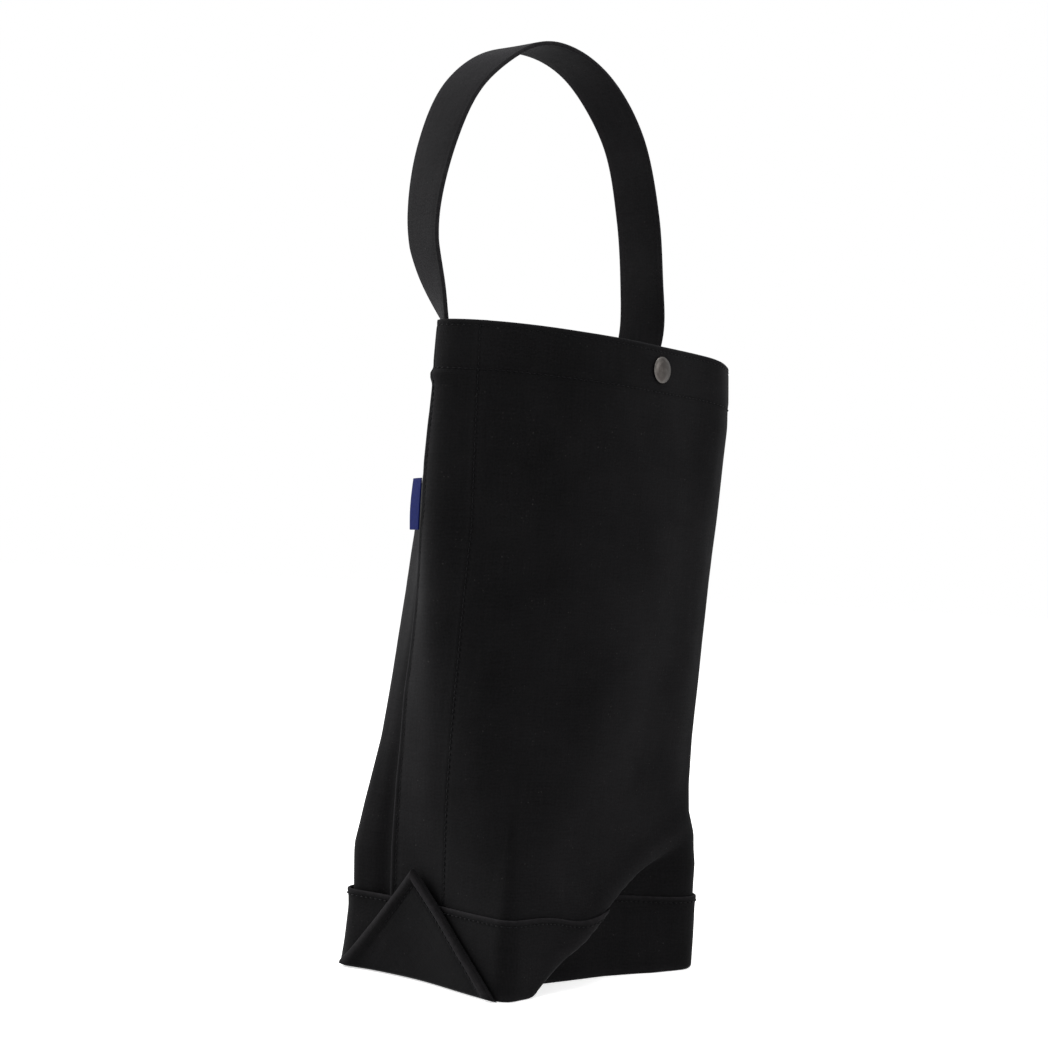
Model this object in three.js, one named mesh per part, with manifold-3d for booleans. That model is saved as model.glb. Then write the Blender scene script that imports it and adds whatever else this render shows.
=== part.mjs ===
// Canvas shoe bag: a tall tote on a boxed base, with lapped side seams, a base band, outward-folded
// corner flaps, one flat strap handle and a snap at the mouth. Millimetres, +Z up, front towards -Y.
// The origin is under the middle of the box round the bag, on the surface it stands on.
import * as THREE from 'three';
import { mergeVertices } from 'three/addons/utils/BufferGeometryUtils.js';
import Module from 'manifold-3d';

const wasm = await Module();
wasm.setup();

// ---- Driving dimensions -------------------------------------------------------------------------
const BASE_WIDTH = 150; // finished width of the boxed base, along X
const BASE_DEPTH = 117; // finished depth of the boxed base, along Y
const BODY_HEIGHT = 337; // floor to the mouth edge at the side seams
const CORNER_RADIUS = 9; // soft upright corners of the boxed base
const CANVAS = 1.2; // one layer of canvas
const GAP = 0.3; // air kept between two layers that touch
const LAP_WIDTH = 36; // overlap of the front panel on the back panel at each side
const HEM_HEIGHT = 28; // turned-in hem at the mouth
const MOUTH_DIP = 4; // sag of the mouth edge at the middle of the front and back
const BAND_HEIGHT = 40; // base band, from the floor up
const BAND_SEAM = 12; // how far the panels run down inside the band
const STRAP_WIDTH = 30;
const STRAP_THICKNESS = 2.4;
const STRAP_SETBACK = 4; // from the side line to the strap's near edge, towards the back
const STRAP_TAIL = 26; // length of strap sewn inside the mouth
const TAIL_DROP = 2; // mouth edge down to the end of the sewn length
const STRAP_RISE = 165; // top of the handle above the mouth edge
const BEND_LENGTH = 18; // stretch of strap above its tail that bends as the handle swings
const TWIST_LENGTH = 45; // height over which the strap turns square to the bag
const MOUTH_FLAP_WIDTH = 40; // part of each panel that the snap draws inwards
const MOUTH_FLAP_HEIGHT = 62;
const SLIT = 0.6; // slit round that part
const TAG_HEIGHT = 27;
const TAG_REACH = 10; // how far the tag stands out of the seam
const TAG_THICKNESS = 0.8;
const TAG_DROP = 80; // mouth edge down to the top of the tag
const SNAP_RADIUS = 7; // cap of the snap
const SNAP_DROP = 13; // mouth edge down to the middle of the snap
const POST_RADIUS = 2; // post that holds a snap half in the canvas
const STUD_RADIUS = 3.2; // head of the stud that clicks into the socket
const THREAD = 0.5; // width and height of a row of stitches
const STITCH_INSET = 3; // from a folded edge to its row of stitches
const FLAP_STITCH_INSET = 6; // from a corner flap's thick edge to its row of stitches

// ---- Values that follow -------------------------------------------------------------------------
const FLAT_WIDTH = BASE_WIDTH + BASE_DEPTH; // width of the bag laid flat
const GIRTH = 2 * FLAT_WIDTH;
const BOX_HEIGHT = BASE_DEPTH / 2 + 6; // height over which the base stays a clean box
const LAYER = CANVAS + GAP;
const POST_CLEARANCE = 0.4;

// Inner and outer face of each layer, measured outwards from the band's outer face.
const BAND_SKIN = { inner: -CANVAS, outer: 0 };
const FRONT_SKIN = { inner: -LAYER - CANVAS, outer: -LAYER, hem: -LAYER - 2 * CANVAS };
const BACK_SKIN = { inner: -2 * LAYER - CANVAS, outer: -2 * LAYER, hem: -2 * LAYER - 2 * CANVAS };
const STRAP_SKIN = { inner: BACK_SKIN.hem - GAP - STRAP_THICKNESS, outer: BACK_SKIN.hem - GAP };
const CORNER_FLAP_SKIN = { inner: THREAD + 2 * GAP, outer: THREAD + 2 * GAP + 2 * CANVAS };

// ---- Section curves -----------------------------------------------------------------------------
// Both curves start at the left side line and run along the front, the right side and the back.

/** Rounded rectangle of the base, as a closed path of lines and arcs. */
function baseOutline() {
  const x = BASE_WIDTH / 2;
  const y = BASE_DEPTH / 2;
  const r = CORNER_RADIUS;
  const path = new THREE.Path();
  path.moveTo(-x, 0);
  path.lineTo(-x, -y + r);
  path.absarc(-x + r, -y + r, r, Math.PI, 1.5 * Math.PI, false);
  path.lineTo(x - r, -y);
  path.absarc(x - r, -y + r, r, 1.5 * Math.PI, 2 * Math.PI, false);
  path.lineTo(x, y - r);
  path.absarc(x - r, y - r, r, 0, 0.5 * Math.PI, false);
  path.lineTo(-x + r, y);
  path.absarc(-x + r, y - r, r, 0.5 * Math.PI, Math.PI, false);
  path.lineTo(-x, 0);
  return path;
}

/** Soft outline of the open mouth, through the points where the canvas turns. */
function mouthOutline() {
  const front = [[-93, 0], [-83, -25], [-66, -44], [-46, -58], [-20, -69], [12, -72], [44, -70.5],
    [70, -70], [87, -61], [96, -42], [98, -20]];
  const back = [[97, -3], [93, 16], [84, 40], [62, 63], [36, 75.5], [12, 79], [-12, 75.5], [-36, 57],
    [-62, 31]];
  const points = [...front, ...back].map(([x, y]) => new THREE.Vector3(x, y, 0));
  return new THREE.CatmullRomCurve3(points, true, 'centripetal');
}

/** A closed outline as a function of arc length, scaled to a wanted length. */
function byArcLength(curve, samples, wanted) {
  const raw = curve.getPoints(samples).map((p) => new THREE.Vector2(p.x, p.y));
  const lengths = [0];
  for (let i = 1; i < raw.length; i += 1) {
    lengths.push(lengths[i - 1] + raw[i].distanceTo(raw[i - 1]));
  }
  const total = lengths[lengths.length - 1];
  return (s) => {
    const turn = (((s % GIRTH) + GIRTH) % GIRTH) / GIRTH;
    const place = turn * total;
    let i = 1;
    while (i < lengths.length - 1 && lengths[i] < place) i += 1;
    const t = (place - lengths[i - 1]) / (lengths[i] - lengths[i - 1]);
    return raw[i - 1].clone().lerp(raw[i], t).multiplyScalar(wanted / total);
  };
}

const roundedGirth = GIRTH - (8 - 2 * Math.PI) * CORNER_RADIUS;
const basePoint = byArcLength(baseOutline(), 24, roundedGirth);
const mouthPoint = byArcLength(mouthOutline(), 400, GIRTH);

/** Share of the mouth outline in the section at a height: none in the boxed base, all at the mouth. */
function mouthShare(z) {
  const t = THREE.MathUtils.clamp((z - BOX_HEIGHT) / (BODY_HEIGHT - BOX_HEIGHT), 0, 1);
  return 1 - (1 - t) ** 1.6;
}

/** Point of the section at arc position s and height z. */
function sectionPoint(s, z) {
  return basePoint(s).lerp(mouthPoint(s), mouthShare(z));
}

/** Height, once the mouth edge has sagged, of the canvas at arc position s and height z. */
function saggedHeight(s, z) {
  const still = BODY_HEIGHT - 2 * MOUTH_FLAP_HEIGHT;
  const t = THREE.MathUtils.clamp((z - still) / (BODY_HEIGHT - still), 0, 1);
  return z - MOUTH_DIP * Math.sin((Math.PI * s) / FLAT_WIDTH) ** 2 * t;
}

/** Point of the wall at arc position s and height z, moved outwards by an offset. */
function wallPoint(s, z, offset) {
  const probe = 2;
  const ahead = sectionPoint(s + probe, z);
  const behind = sectionPoint(s - probe, z);
  const outward = new THREE.Vector2(ahead.y - behind.y, behind.x - ahead.x).normalize();
  const p = sectionPoint(s, z).addScaledVector(outward, offset);
  return new THREE.Vector3(p.x, p.y, saggedHeight(s, z));
}

// ---- Shared stations, so that layers lying on each other are faceted alike ----------------------
const LAP = LAP_WIDTH / 2;
const ROW = LAP - STITCH_INSET;
const HALF_FLAP = MOUTH_FLAP_WIDTH / 2;
const STRAP_FAR = STRAP_SETBACK + STRAP_WIDTH;
const HEM_STEP = 0.6; // run over which the canvas thickens into its hem
const FLAP_FOOT = BODY_HEIGHT - MOUTH_FLAP_HEIGHT;
const HEM_FOOT = BODY_HEIGHT - HEM_HEIGHT;
const SEAM_FOOT = BAND_HEIGHT - BAND_SEAM;
const ARC_STEP = 13; // longest facet round the bag
const RISE_STEP = 30; // longest facet up the bag
const FRONT_MIDDLE = FLAT_WIDTH / 2;
const snapX = mouthPoint(FRONT_MIDDLE).x;

/** Arc position on the back that lies straight behind the snap. */
function findBackMiddle() {
  let low = FLAT_WIDTH + LAP_WIDTH;
  let high = GIRTH - LAP_WIDTH;
  for (let i = 0; i < 40; i += 1) {
    const middle = (low + high) / 2;
    if (mouthPoint(middle).x > snapX) low = middle;
    else high = middle;
  }
  return (low + high) / 2;
}

const BACK_MIDDLE = findBackMiddle();

/** Marks with even steps added between them, none longer than a limit. */
function withSteps(marks, limit) {
  const sorted = [...marks].sort((a, b) => a - b);
  const steps = sorted.slice(1).flatMap((end, i) => {
    const start = sorted[i];
    const count = Math.max(1, Math.round((end - start) / limit));
    return Array.from({ length: count }, (_, k) => start + ((end - start) * (k + 1)) / count);
  });
  return [sorted[0], ...steps];
}

/** Arc stations of a panel between two side lines, with its laps and its mouth flap. */
function panelArcs(start, middle, end) {
  const edge = [0, STRAP_SETBACK, ROW, LAP];
  const laps = edge.flatMap((d) => [start - d, start + d, end - d, end + d]);
  const hem = [start + LAP + HEM_STEP, end - LAP - HEM_STEP, start + STRAP_FAR, end - STRAP_FAR];
  const flap = [HALF_FLAP, HALF_FLAP + SLIT].flatMap((d) => [middle - d, middle + d]);
  return withSteps(new Set([...laps, ...hem, ...flap, middle]), ARC_STEP);
}

const frontArcs = panelArcs(0, FRONT_MIDDLE, FLAT_WIDTH);
const backArcs = panelArcs(FLAT_WIDTH, BACK_MIDDLE, GIRTH);
const levels = withSteps([SEAM_FOOT, BAND_HEIGHT, BOX_HEIGHT, FLAP_FOOT - SLIT, FLAP_FOOT, HEM_FOOT,
  HEM_FOOT + HEM_STEP, BODY_HEIGHT], RISE_STEP);

// ---- Solids -------------------------------------------------------------------------------------

/** Geometry from a list of triangle corners. */
function geometryOf(corners) {
  const positions = new Float32Array(corners.length * 3);
  corners.forEach((p, i) => p.toArray(positions, i * 3));
  const geometry = new THREE.BufferGeometry();
  geometry.setAttribute('position', new THREE.BufferAttribute(positions, 3));
  geometry.computeVertexNormals();
  return geometry;
}

/** Adds the two triangles of a quad, counter-clockwise seen from outside. */
function quad(corners, a, b, c, d) {
  corners.push(a, b, c, a, c, d);
}

/** A sheet of canvas with a thickness, made of those cells of a grid that a test keeps. */
function sheet(arcs, rises, keep, outer, innerAt) {
  const out = arcs.map((s) => rises.map((z) => wallPoint(s, z, outer)));
  const inn = arcs.map((s) => rises.map((z) => wallPoint(s, z, innerAt(s, z))));
  const kept = (i, j) => i >= 0 && j >= 0 && i < arcs.length - 1 && j < rises.length - 1
    && keep((arcs[i] + arcs[i + 1]) / 2, (rises[j] + rises[j + 1]) / 2);
  const corners = [];
  for (let i = 0; i < arcs.length - 1; i += 1) {
    for (let j = 0; j < rises.length - 1; j += 1) {
      if (!kept(i, j)) continue;
      const [oa, ob, oc, od] = [out[i][j], out[i + 1][j], out[i + 1][j + 1], out[i][j + 1]];
      const [ia, ib, ic, id] = [inn[i][j], inn[i + 1][j], inn[i + 1][j + 1], inn[i][j + 1]];
      quad(corners, oa, ob, oc, od);
      quad(corners, ia, id, ic, ib);
      if (!kept(i - 1, j)) quad(corners, oa, od, id, ia);
      if (!kept(i + 1, j)) quad(corners, ob, ib, ic, oc);
      if (!kept(i, j - 1)) quad(corners, oa, ia, ib, ob);
      if (!kept(i, j + 1)) quad(corners, od, oc, ic, id);
    }
  }
  return geometryOf(corners);
}

/** Six times the signed volume of a geometry: negative when its faces point inwards. */
function signedVolume(geometry) {
  const flat = geometry.index ? geometry.toNonIndexed() : geometry;
  const position = flat.getAttribute('position');
  const [a, b, c] = [new THREE.Vector3(), new THREE.Vector3(), new THREE.Vector3()];
  let sum = 0;
  for (let i = 0; i < position.count; i += 3) {
    a.fromBufferAttribute(position, i);
    b.fromBufferAttribute(position, i + 1);
    c.fromBufferAttribute(position, i + 2);
    sum += a.dot(b.cross(c));
  }
  return sum;
}

/** The geometry with its faces pointing outwards. */
function facingOut(geometry) {
  if (signedVolume(geometry) > 0) return geometry;
  const flat = geometry.index ? geometry.toNonIndexed() : geometry.clone();
  const old = flat.getAttribute('position').array;
  const turned = new Float32Array(old.length);
  for (let i = 0; i < old.length; i += 9) {
    turned.set(old.subarray(i, i + 3), i);
    turned.set(old.subarray(i + 6, i + 9), i + 3);
    turned.set(old.subarray(i + 3, i + 6), i + 6);
  }
  const made = new THREE.BufferGeometry();
  made.setAttribute('position', new THREE.BufferAttribute(turned, 3));
  made.computeVertexNormals();
  return made;
}

/** Solid through a row of four-cornered sections, closed at both ends or joined into a ring. */
function barThrough(sections, ring = false) {
  const corners = [];
  const count = sections.length;
  const spans = ring ? count : count - 1;
  for (let i = 0; i < spans; i += 1) {
    const a = sections[i];
    const b = sections[(i + 1) % count];
    for (let k = 0; k < 4; k += 1) {
      const n = (k + 1) % 4;
      quad(corners, a[k], a[n], b[n], b[k]);
    }
  }
  if (!ring) {
    const first = sections[0];
    const last = sections[count - 1];
    quad(corners, first[3], first[2], first[1], first[0]);
    quad(corners, last[0], last[1], last[2], last[3]);
  }
  return facingOut(geometryOf(corners));
}

/** Level row of stitches through [arc position, face offset] pairs, lying on that face. */
function levelRow(path, z, ring = false) {
  const half = THREAD / 2;
  const sections = path.map(([s, face]) => [
    wallPoint(s, z - half, face + GAP), wallPoint(s, z + half, face + GAP),
    wallPoint(s, z + half, face + GAP + THREAD), wallPoint(s, z - half, face + GAP + THREAD),
  ]);
  return barThrough(sections, ring);
}

/** Upright row of stitches at an arc position, lying on a face. */
function uprightRow(s, rises, face) {
  const half = THREAD / 2;
  const sections = rises.map((z) => [
    wallPoint(s - half, z, face + GAP), wallPoint(s + half, z, face + GAP),
    wallPoint(s + half, z, face + GAP + THREAD), wallPoint(s - half, z, face + GAP + THREAD),
  ]);
  return barThrough(sections);
}

/** Closed solid of a geometry, for joining and cutting. */
function solidOf(geometry) {
  const bare = geometry.clone();
  bare.deleteAttribute('normal');
  bare.deleteAttribute('uv');
  const merged = mergeVertices(bare, 1e-4);
  return new wasm.Manifold(new wasm.Mesh({
    numProp: 3,
    vertProperties: new Float32Array(merged.getAttribute('position').array),
    triVerts: new Uint32Array(merged.index.array),
  }));
}

/** Geometry with another geometry cut out of it. */
function cut(geometry, tool) {
  const result = solidOf(geometry).subtract(solidOf(tool)).getMesh();
  const made = new THREE.BufferGeometry();
  made.setAttribute('position', new THREE.BufferAttribute(new Float32Array(result.vertProperties), 3));
  made.setIndex(new THREE.BufferAttribute(new Uint32Array(result.triVerts), 1));
  made.computeVertexNormals();
  return made;
}

/** Solid turned about an upright line through x and y, from [radius, y offset] profile points. */
function turnedAt(x, y, z, profile) {
  const facets = 28;
  const geometry = new THREE.LatheGeometry(profile.map(([r, h]) => new THREE.Vector2(r, h)), facets);
  geometry.translate(x, y, z);
  return facingOut(geometry);
}

const group = new THREE.Group();

/** Adds a named part to the bag. */
function part(name, geometry, look) {
  const mesh = new THREE.Mesh(geometry, new THREE.MeshStandardMaterial(look));
  mesh.name = name;
  group.add(mesh);
}

const CANVAS_LOOK = { color: 0x1b1b1d, roughness: 0.92, metalness: 0 };
const STRAP_LOOK = { color: 0x222124, roughness: 0.88, metalness: 0 };
const THREAD_LOOK = { color: 0x2b2b2e, roughness: 0.75, metalness: 0 };
const METAL_LOOK = { color: 0x5d5854, roughness: 0.38, metalness: 0.9 };
const STEEL_LOOK = { color: 0x9a9894, roughness: 0.3, metalness: 1 };
const TAG_LOOK = { color: 0x17265e, roughness: 0.7, metalness: 0 };

// ---- Canvas panels ------------------------------------------------------------------------------
// Each panel's top middle is a part of its own, because the snap draws it inwards.
const snapHeight = saggedHeight(FRONT_MIDDLE, BODY_HEIGHT - SNAP_DROP);

/** Panel outside the part that the snap moves. */
function sidePanel(arcs, middle, skin, innerAt) {
  const keep = (s, z) => Math.abs(s - middle) > HALF_FLAP + SLIT || z < FLAP_FOOT - SLIT;
  return sheet(arcs, levels, keep, skin.outer, innerAt);
}

/** Part of a panel that the snap moves, with the hole for the snap's post. */
function mouthFlap(arcs, middle, skin, innerAt) {
  const keep = (s, z) => Math.abs(s - middle) < HALF_FLAP && z > FLAP_FOOT;
  const flap = sheet(arcs, levels, keep, skin.outer, innerAt);
  const hole = POST_RADIUS + POST_CLEARANCE;
  const drill = new THREE.CylinderGeometry(hole, hole, 8 * CANVAS, 20);
  drill.translate(snapX, wallPoint(middle, BODY_HEIGHT - SNAP_DROP, skin.inner).y, snapHeight);
  return cut(flap, drill);
}

/** Inner face of the front panel: its hem lies between the laps. */
function frontInner(s, z) {
  const inHem = z > HEM_FOOT && s > LAP && s < FLAT_WIDTH - LAP;
  return inHem ? FRONT_SKIN.hem : FRONT_SKIN.inner;
}

/** Inner face of the back panel: its hem runs from end to end. */
function backInner(s, z) {
  return z > HEM_FOOT ? BACK_SKIN.hem : BACK_SKIN.inner;
}

part('front_panel', sidePanel(frontArcs, FRONT_MIDDLE, FRONT_SKIN, frontInner), CANVAS_LOOK);
part('back_panel', sidePanel(backArcs, BACK_MIDDLE, BACK_SKIN, backInner), CANVAS_LOOK);
part('front_mouth_panel', mouthFlap(frontArcs, FRONT_MIDDLE, FRONT_SKIN, frontInner), CANVAS_LOOK);
part('back_mouth_panel', mouthFlap(backArcs, BACK_MIDDLE, BACK_SKIN, backInner), CANVAS_LOOK);

// ---- Base ---------------------------------------------------------------------------------------
const ringArcs = withSteps(new Set([...frontArcs.filter((s) => s >= 0 && s <= FLAT_WIDTH),
  ...backArcs.filter((s) => s >= FLAT_WIDTH && s < GIRTH)]), ARC_STEP);

/** Base panel: the bottom and the band round it, one tray of canvas open at the top. */
function basePanel() {
  const ring = (z, offset) => ringArcs.map((s) => wallPoint(s, z, offset));
  const outFoot = ring(0, BAND_SKIN.outer);
  const outTop = ring(BAND_HEIGHT, BAND_SKIN.outer);
  const innTop = ring(BAND_HEIGHT, BAND_SKIN.inner);
  const innFoot = ring(CANVAS, BAND_SKIN.inner);
  const under = new THREE.Vector3(0, 0, 0);
  const floor = new THREE.Vector3(0, 0, CANVAS);
  const corners = [];
  for (let i = 0; i < ringArcs.length; i += 1) {
    const n = (i + 1) % ringArcs.length;
    quad(corners, outFoot[i], outFoot[n], outTop[n], outTop[i]);
    quad(corners, outTop[i], outTop[n], innTop[n], innTop[i]);
    quad(corners, innTop[i], innTop[n], innFoot[n], innFoot[i]);
    corners.push(innFoot[i], innFoot[n], floor);
    corners.push(outFoot[n], outFoot[i], under);
  }
  return facingOut(geometryOf(corners));
}

part('base_panel', basePanel(), CANVAS_LOOK);

/** Folded corner of the base, turned up flat against a side: a triangle two layers thick. */
function cornerFlap(side) {
  const half = BASE_DEPTH / 2;
  const blunt = 2 * CANVAS;
  const shape = new THREE.Shape();
  shape.moveTo(-half, 0);
  shape.lineTo(half, 0);
  shape.lineTo(half, blunt);
  shape.lineTo(blunt, half);
  shape.lineTo(-blunt, half);
  shape.lineTo(-half, blunt);
  shape.lineTo(-half, 0);
  const depth = CORNER_FLAP_SKIN.outer - CORNER_FLAP_SKIN.inner;
  const geometry = new THREE.ExtrudeGeometry(shape, { depth, bevelEnabled: false });
  geometry.rotateX(Math.PI / 2);
  geometry.rotateZ(Math.PI / 2);
  const near = BASE_WIDTH / 2 + CORNER_FLAP_SKIN.inner;
  geometry.translate(side > 0 ? near : -near - depth, 0, 0);
  return facingOut(geometry);
}

/** Stitches down both slanted edges of a corner flap, one line over its tip. */
function cornerFlapStitches(side) {
  const inset = FLAP_STITCH_INSET * Math.SQRT2;
  const reach = BASE_DEPTH / 2 - inset - STITCH_INSET;
  const x = (BASE_WIDTH / 2 + CORNER_FLAP_SKIN.outer + GAP) * side;
  const half = THREAD / 2;
  const turns = [[-reach, STITCH_INSET], [0, STITCH_INSET + reach], [reach, STITCH_INSET]];
  const sections = turns.map(([y, z]) => [
    new THREE.Vector3(x, y, z - half), new THREE.Vector3(x, y, z + half),
    new THREE.Vector3(x + THREAD * side, y, z + half), new THREE.Vector3(x + THREAD * side, y, z - half),
  ]);
  return barThrough(sections);
}

for (const [name, side] of [['left', -1], ['right', 1]]) {
  part(`${name}_corner_flap`, cornerFlap(side), CANVAS_LOOK);
  part(`${name}_corner_flap_stitches`, cornerFlapStitches(side), THREAD_LOOK);
}

// ---- Handle -------------------------------------------------------------------------------------
const TAIL_TOP = BODY_HEIGHT - TAIL_DROP;
const BEND_TOP = TAIL_TOP + BEND_LENGTH;
const leftEdges = { near: GIRTH - STRAP_SETBACK, far: GIRTH - STRAP_FAR };
const rightEdges = { near: FLAT_WIDTH + STRAP_SETBACK, far: FLAT_WIDTH + STRAP_FAR };

/** Length of strap that follows the wall between two heights. */
function strapOnWall(edges, foot, top) {
  const low = Math.min(edges.near, edges.far);
  const high = Math.max(edges.near, edges.far);
  const arcs = backArcs.filter((s) => s > low - GAP && s < high + GAP);
  return sheet(arcs, [foot, top], () => true, STRAP_SKIN.outer, () => STRAP_SKIN.inner);
}

/** Box of stitches that holds a strap end, on its inner face. */
function tailStitches(edges) {
  const towards = Math.sign(edges.far - edges.near);
  const near = edges.near + towards * STITCH_INSET;
  const far = edges.far - towards * STITCH_INSET;
  const low = TAIL_TOP - STRAP_TAIL + STITCH_INSET;
  const high = TAIL_TOP - STITCH_INSET;
  const top = STRAP_SKIN.inner - GAP;
  const frame = (s, z, ds, dz) => [
    wallPoint(s, z, top), wallPoint(s + ds, z + dz, top),
    wallPoint(s + ds, z + dz, top - THREAD), wallPoint(s, z, top - THREAD),
  ];
  const inward = THREAD * towards;
  const bend = backArcs.filter((s) => (s - near) * (s - far) < 0);
  const there = towards > 0 ? bend : [...bend].reverse();
  const back = [...there].reverse();
  const sections = [frame(near, low, inward, THREAD), ...there.map((s) => frame(s, low, 0, THREAD)),
    frame(far, low, -inward, THREAD), frame(far, high, -inward, -THREAD),
    ...back.map((s) => frame(s, high, 0, -THREAD)), frame(near, high, inward, -THREAD)];
  return barThrough(sections, true);
}

/** Middle of the strap where it leaves the wall, and the direction across it. */
function strapRoot(edges) {
  const middleOffset = (STRAP_SKIN.inner + STRAP_SKIN.outer) / 2;
  const near = wallPoint(edges.near, BEND_TOP, middleOffset);
  const far = wallPoint(edges.far, BEND_TOP, middleOffset);
  const across = far.clone().sub(near).setZ(0).normalize();
  return { middle: near.clone().add(far).multiplyScalar(0.5).setZ(BEND_TOP + GAP), across };
}

/** The strap's free arch, a flat bar that leaves each wall along it and turns square above. */
function handleStrap() {
  const left = strapRoot(leftEdges);
  const right = strapRoot(rightEdges);
  const centre = left.middle.clone().add(right.middle).multiplyScalar(0.5);
  const span = (right.middle.x - left.middle.x) / 2;
  const turns = [[-1.07, 0.17], [-1.133, 0.32], [-1.04, 0.57], [-0.82, 0.79], [-0.368, 0.958],
    [-0.03, 1], [0.337, 0.94], [0.7, 0.77], [0.9, 0.51], [1.0, 0.23]];
  const points = turns.map(([x, z]) => new THREE.Vector3(centre.x + x * span, centre.y,
    BODY_HEIGHT + z * (STRAP_RISE - STRAP_THICKNESS / 2)));
  const curve = new THREE.CatmullRomCurve3([left.middle, ...points, right.middle], false, 'centripetal');
  const stations = 40;
  const sections = Array.from({ length: stations + 1 }, (_, i) => {
    const t = i / stations;
    const middle = curve.getPointAt(t);
    const atRoot = i === 0 || i === stations;
    const along = atRoot ? new THREE.Vector3(0, 0, i === 0 ? 1 : -1) : curve.getTangentAt(t);
    const root = t < 0.5 ? left : right;
    const fade = Math.exp(-(middle.z - BEND_TOP) / TWIST_LENGTH);
    const twist = Math.atan2(root.across.x, root.across.y) * fade;
    const across = new THREE.Vector3(Math.sin(twist), Math.cos(twist), 0);
    across.addScaledVector(along, -across.dot(along)).normalize().multiplyScalar(STRAP_WIDTH / 2);
    const through = along.clone().cross(across).normalize().multiplyScalar(STRAP_THICKNESS / 2);
    const corner = (a, b) => middle.clone().addScaledVector(across, a).addScaledVector(through, b);
    return [corner(-1, -1), corner(1, -1), corner(1, 1), corner(-1, 1)];
  });
  return barThrough(sections);
}

part('handle_strap', handleStrap(), STRAP_LOOK);
for (const [name, edges] of [['left', leftEdges], ['right', rightEdges]]) {
  part(`${name}_handle_end`, strapOnWall(edges, TAIL_TOP - STRAP_TAIL, TAIL_TOP), STRAP_LOOK);
  part(`${name}_handle_bend`, strapOnWall(edges, TAIL_TOP + GAP, BEND_TOP), STRAP_LOOK);
  part(`${name}_handle_stitches`, tailStitches(edges), THREAD_LOOK);
}

// ---- Tag ----------------------------------------------------------------------------------------

/** Woven tag that stands out of the left seam, behind the front panel's edge. */
function sideTag() {
  const foot = -LAP - 2 * GAP;
  const top = BODY_HEIGHT - TAG_DROP;
  const lift = 0.4; // how steeply the tag leaves the wall
  const start = BACK_SKIN.outer + 2 * GAP;
  const sections = [0, 0.5, 1].map((t) => {
    const s = foot - TAG_REACH * t;
    const face = start + lift * TAG_REACH * t;
    return [wallPoint(s, top - TAG_HEIGHT, face), wallPoint(s, top, face),
      wallPoint(s, top, face + TAG_THICKNESS), wallPoint(s, top - TAG_HEIGHT, face + TAG_THICKNESS)];
  });
  return barThrough(sections);
}

part('side_tag', sideTag(), TAG_LOOK);

// ---- Snap ---------------------------------------------------------------------------------------
// A cap's post goes through its flap and holds the socket, or the stud, on the inside.
const frontFace = wallPoint(FRONT_MIDDLE, BODY_HEIGHT - SNAP_DROP, FRONT_SKIN.outer).y;
const frontInside = wallPoint(FRONT_MIDDLE, BODY_HEIGHT - SNAP_DROP, FRONT_SKIN.hem).y;
const backFace = wallPoint(BACK_MIDDLE, BODY_HEIGHT - SNAP_DROP, BACK_SKIN.outer).y;
const backInside = wallPoint(BACK_MIDDLE, BODY_HEIGHT - SNAP_DROP, BACK_SKIN.hem).y;
const SEAT_GAP = 2 * GAP; // air between a snap half and the canvas, which isn't quite flat
const HALF_RADIUS = 6; // rim of the socket and of the stud's flange
const SOCKET_FLOOR = 0.8;
const SOCKET_DEPTH = 3;
const LIP_RADIUS = STUD_RADIUS + 0.5;
const GROOVE_RADIUS = LIP_RADIUS + 0.9;
const STUD_HEIGHT = 2.6;
const FLANGE = 0.9;
const POST_TIP = 0.5; // how far a post reaches past the inner face of its flap

/** Domed cap with its post, profile measured inwards from the canvas face. */
function capProfile(radius, dome, postLength) {
  const rise = (share) => -SEAT_GAP - dome * share;
  return [[0, rise(1)], [radius * 0.5, rise(0.88)], [radius * 0.85, rise(0.5)], [radius, rise(0.12)],
    [radius * 0.97, rise(0)], [POST_RADIUS, rise(0)], [POST_RADIUS, postLength], [0, postLength]];
}

/** Mirrors a profile, for the half of the snap on the back. */
function mirrored(profile) {
  return profile.map(([r, y]) => [r, -y]);
}

const socketProfile = [[POST_RADIUS + POST_CLEARANCE, 0], [HALF_RADIUS, 0], [HALF_RADIUS, SOCKET_DEPTH],
  [LIP_RADIUS, SOCKET_DEPTH], [LIP_RADIUS, SOCKET_DEPTH - 0.5], [GROOVE_RADIUS, SOCKET_DEPTH - 0.5],
  [GROOVE_RADIUS, SOCKET_FLOOR], [POST_RADIUS + POST_CLEARANCE, SOCKET_FLOOR],
  [POST_RADIUS + POST_CLEARANCE, 0]];
const studProfile = [[0, -FLANGE * 0.3], [POST_RADIUS + POST_CLEARANCE, -FLANGE * 0.3],
  [POST_RADIUS + POST_CLEARANCE, FLANGE * 0.3], [HALF_RADIUS, FLANGE * 0.3], [HALF_RADIUS, -FLANGE * 0.7],
  [STUD_RADIUS * 0.86, -FLANGE * 0.7], [STUD_RADIUS * 0.86, -FLANGE * 0.7 - STUD_HEIGHT * 0.3],
  [STUD_RADIUS, -FLANGE * 0.7 - STUD_HEIGHT * 0.6], [STUD_RADIUS * 0.7, -FLANGE * 0.7 - STUD_HEIGHT],
  [0, -FLANGE * 0.7 - STUD_HEIGHT]];
const frontPost = frontInside - frontFace + POST_TIP;
const backPost = backFace - backInside + POST_TIP;
const socketY = frontInside + SEAT_GAP;
const studY = backInside - SEAT_GAP - FLANGE * 0.3;

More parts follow.
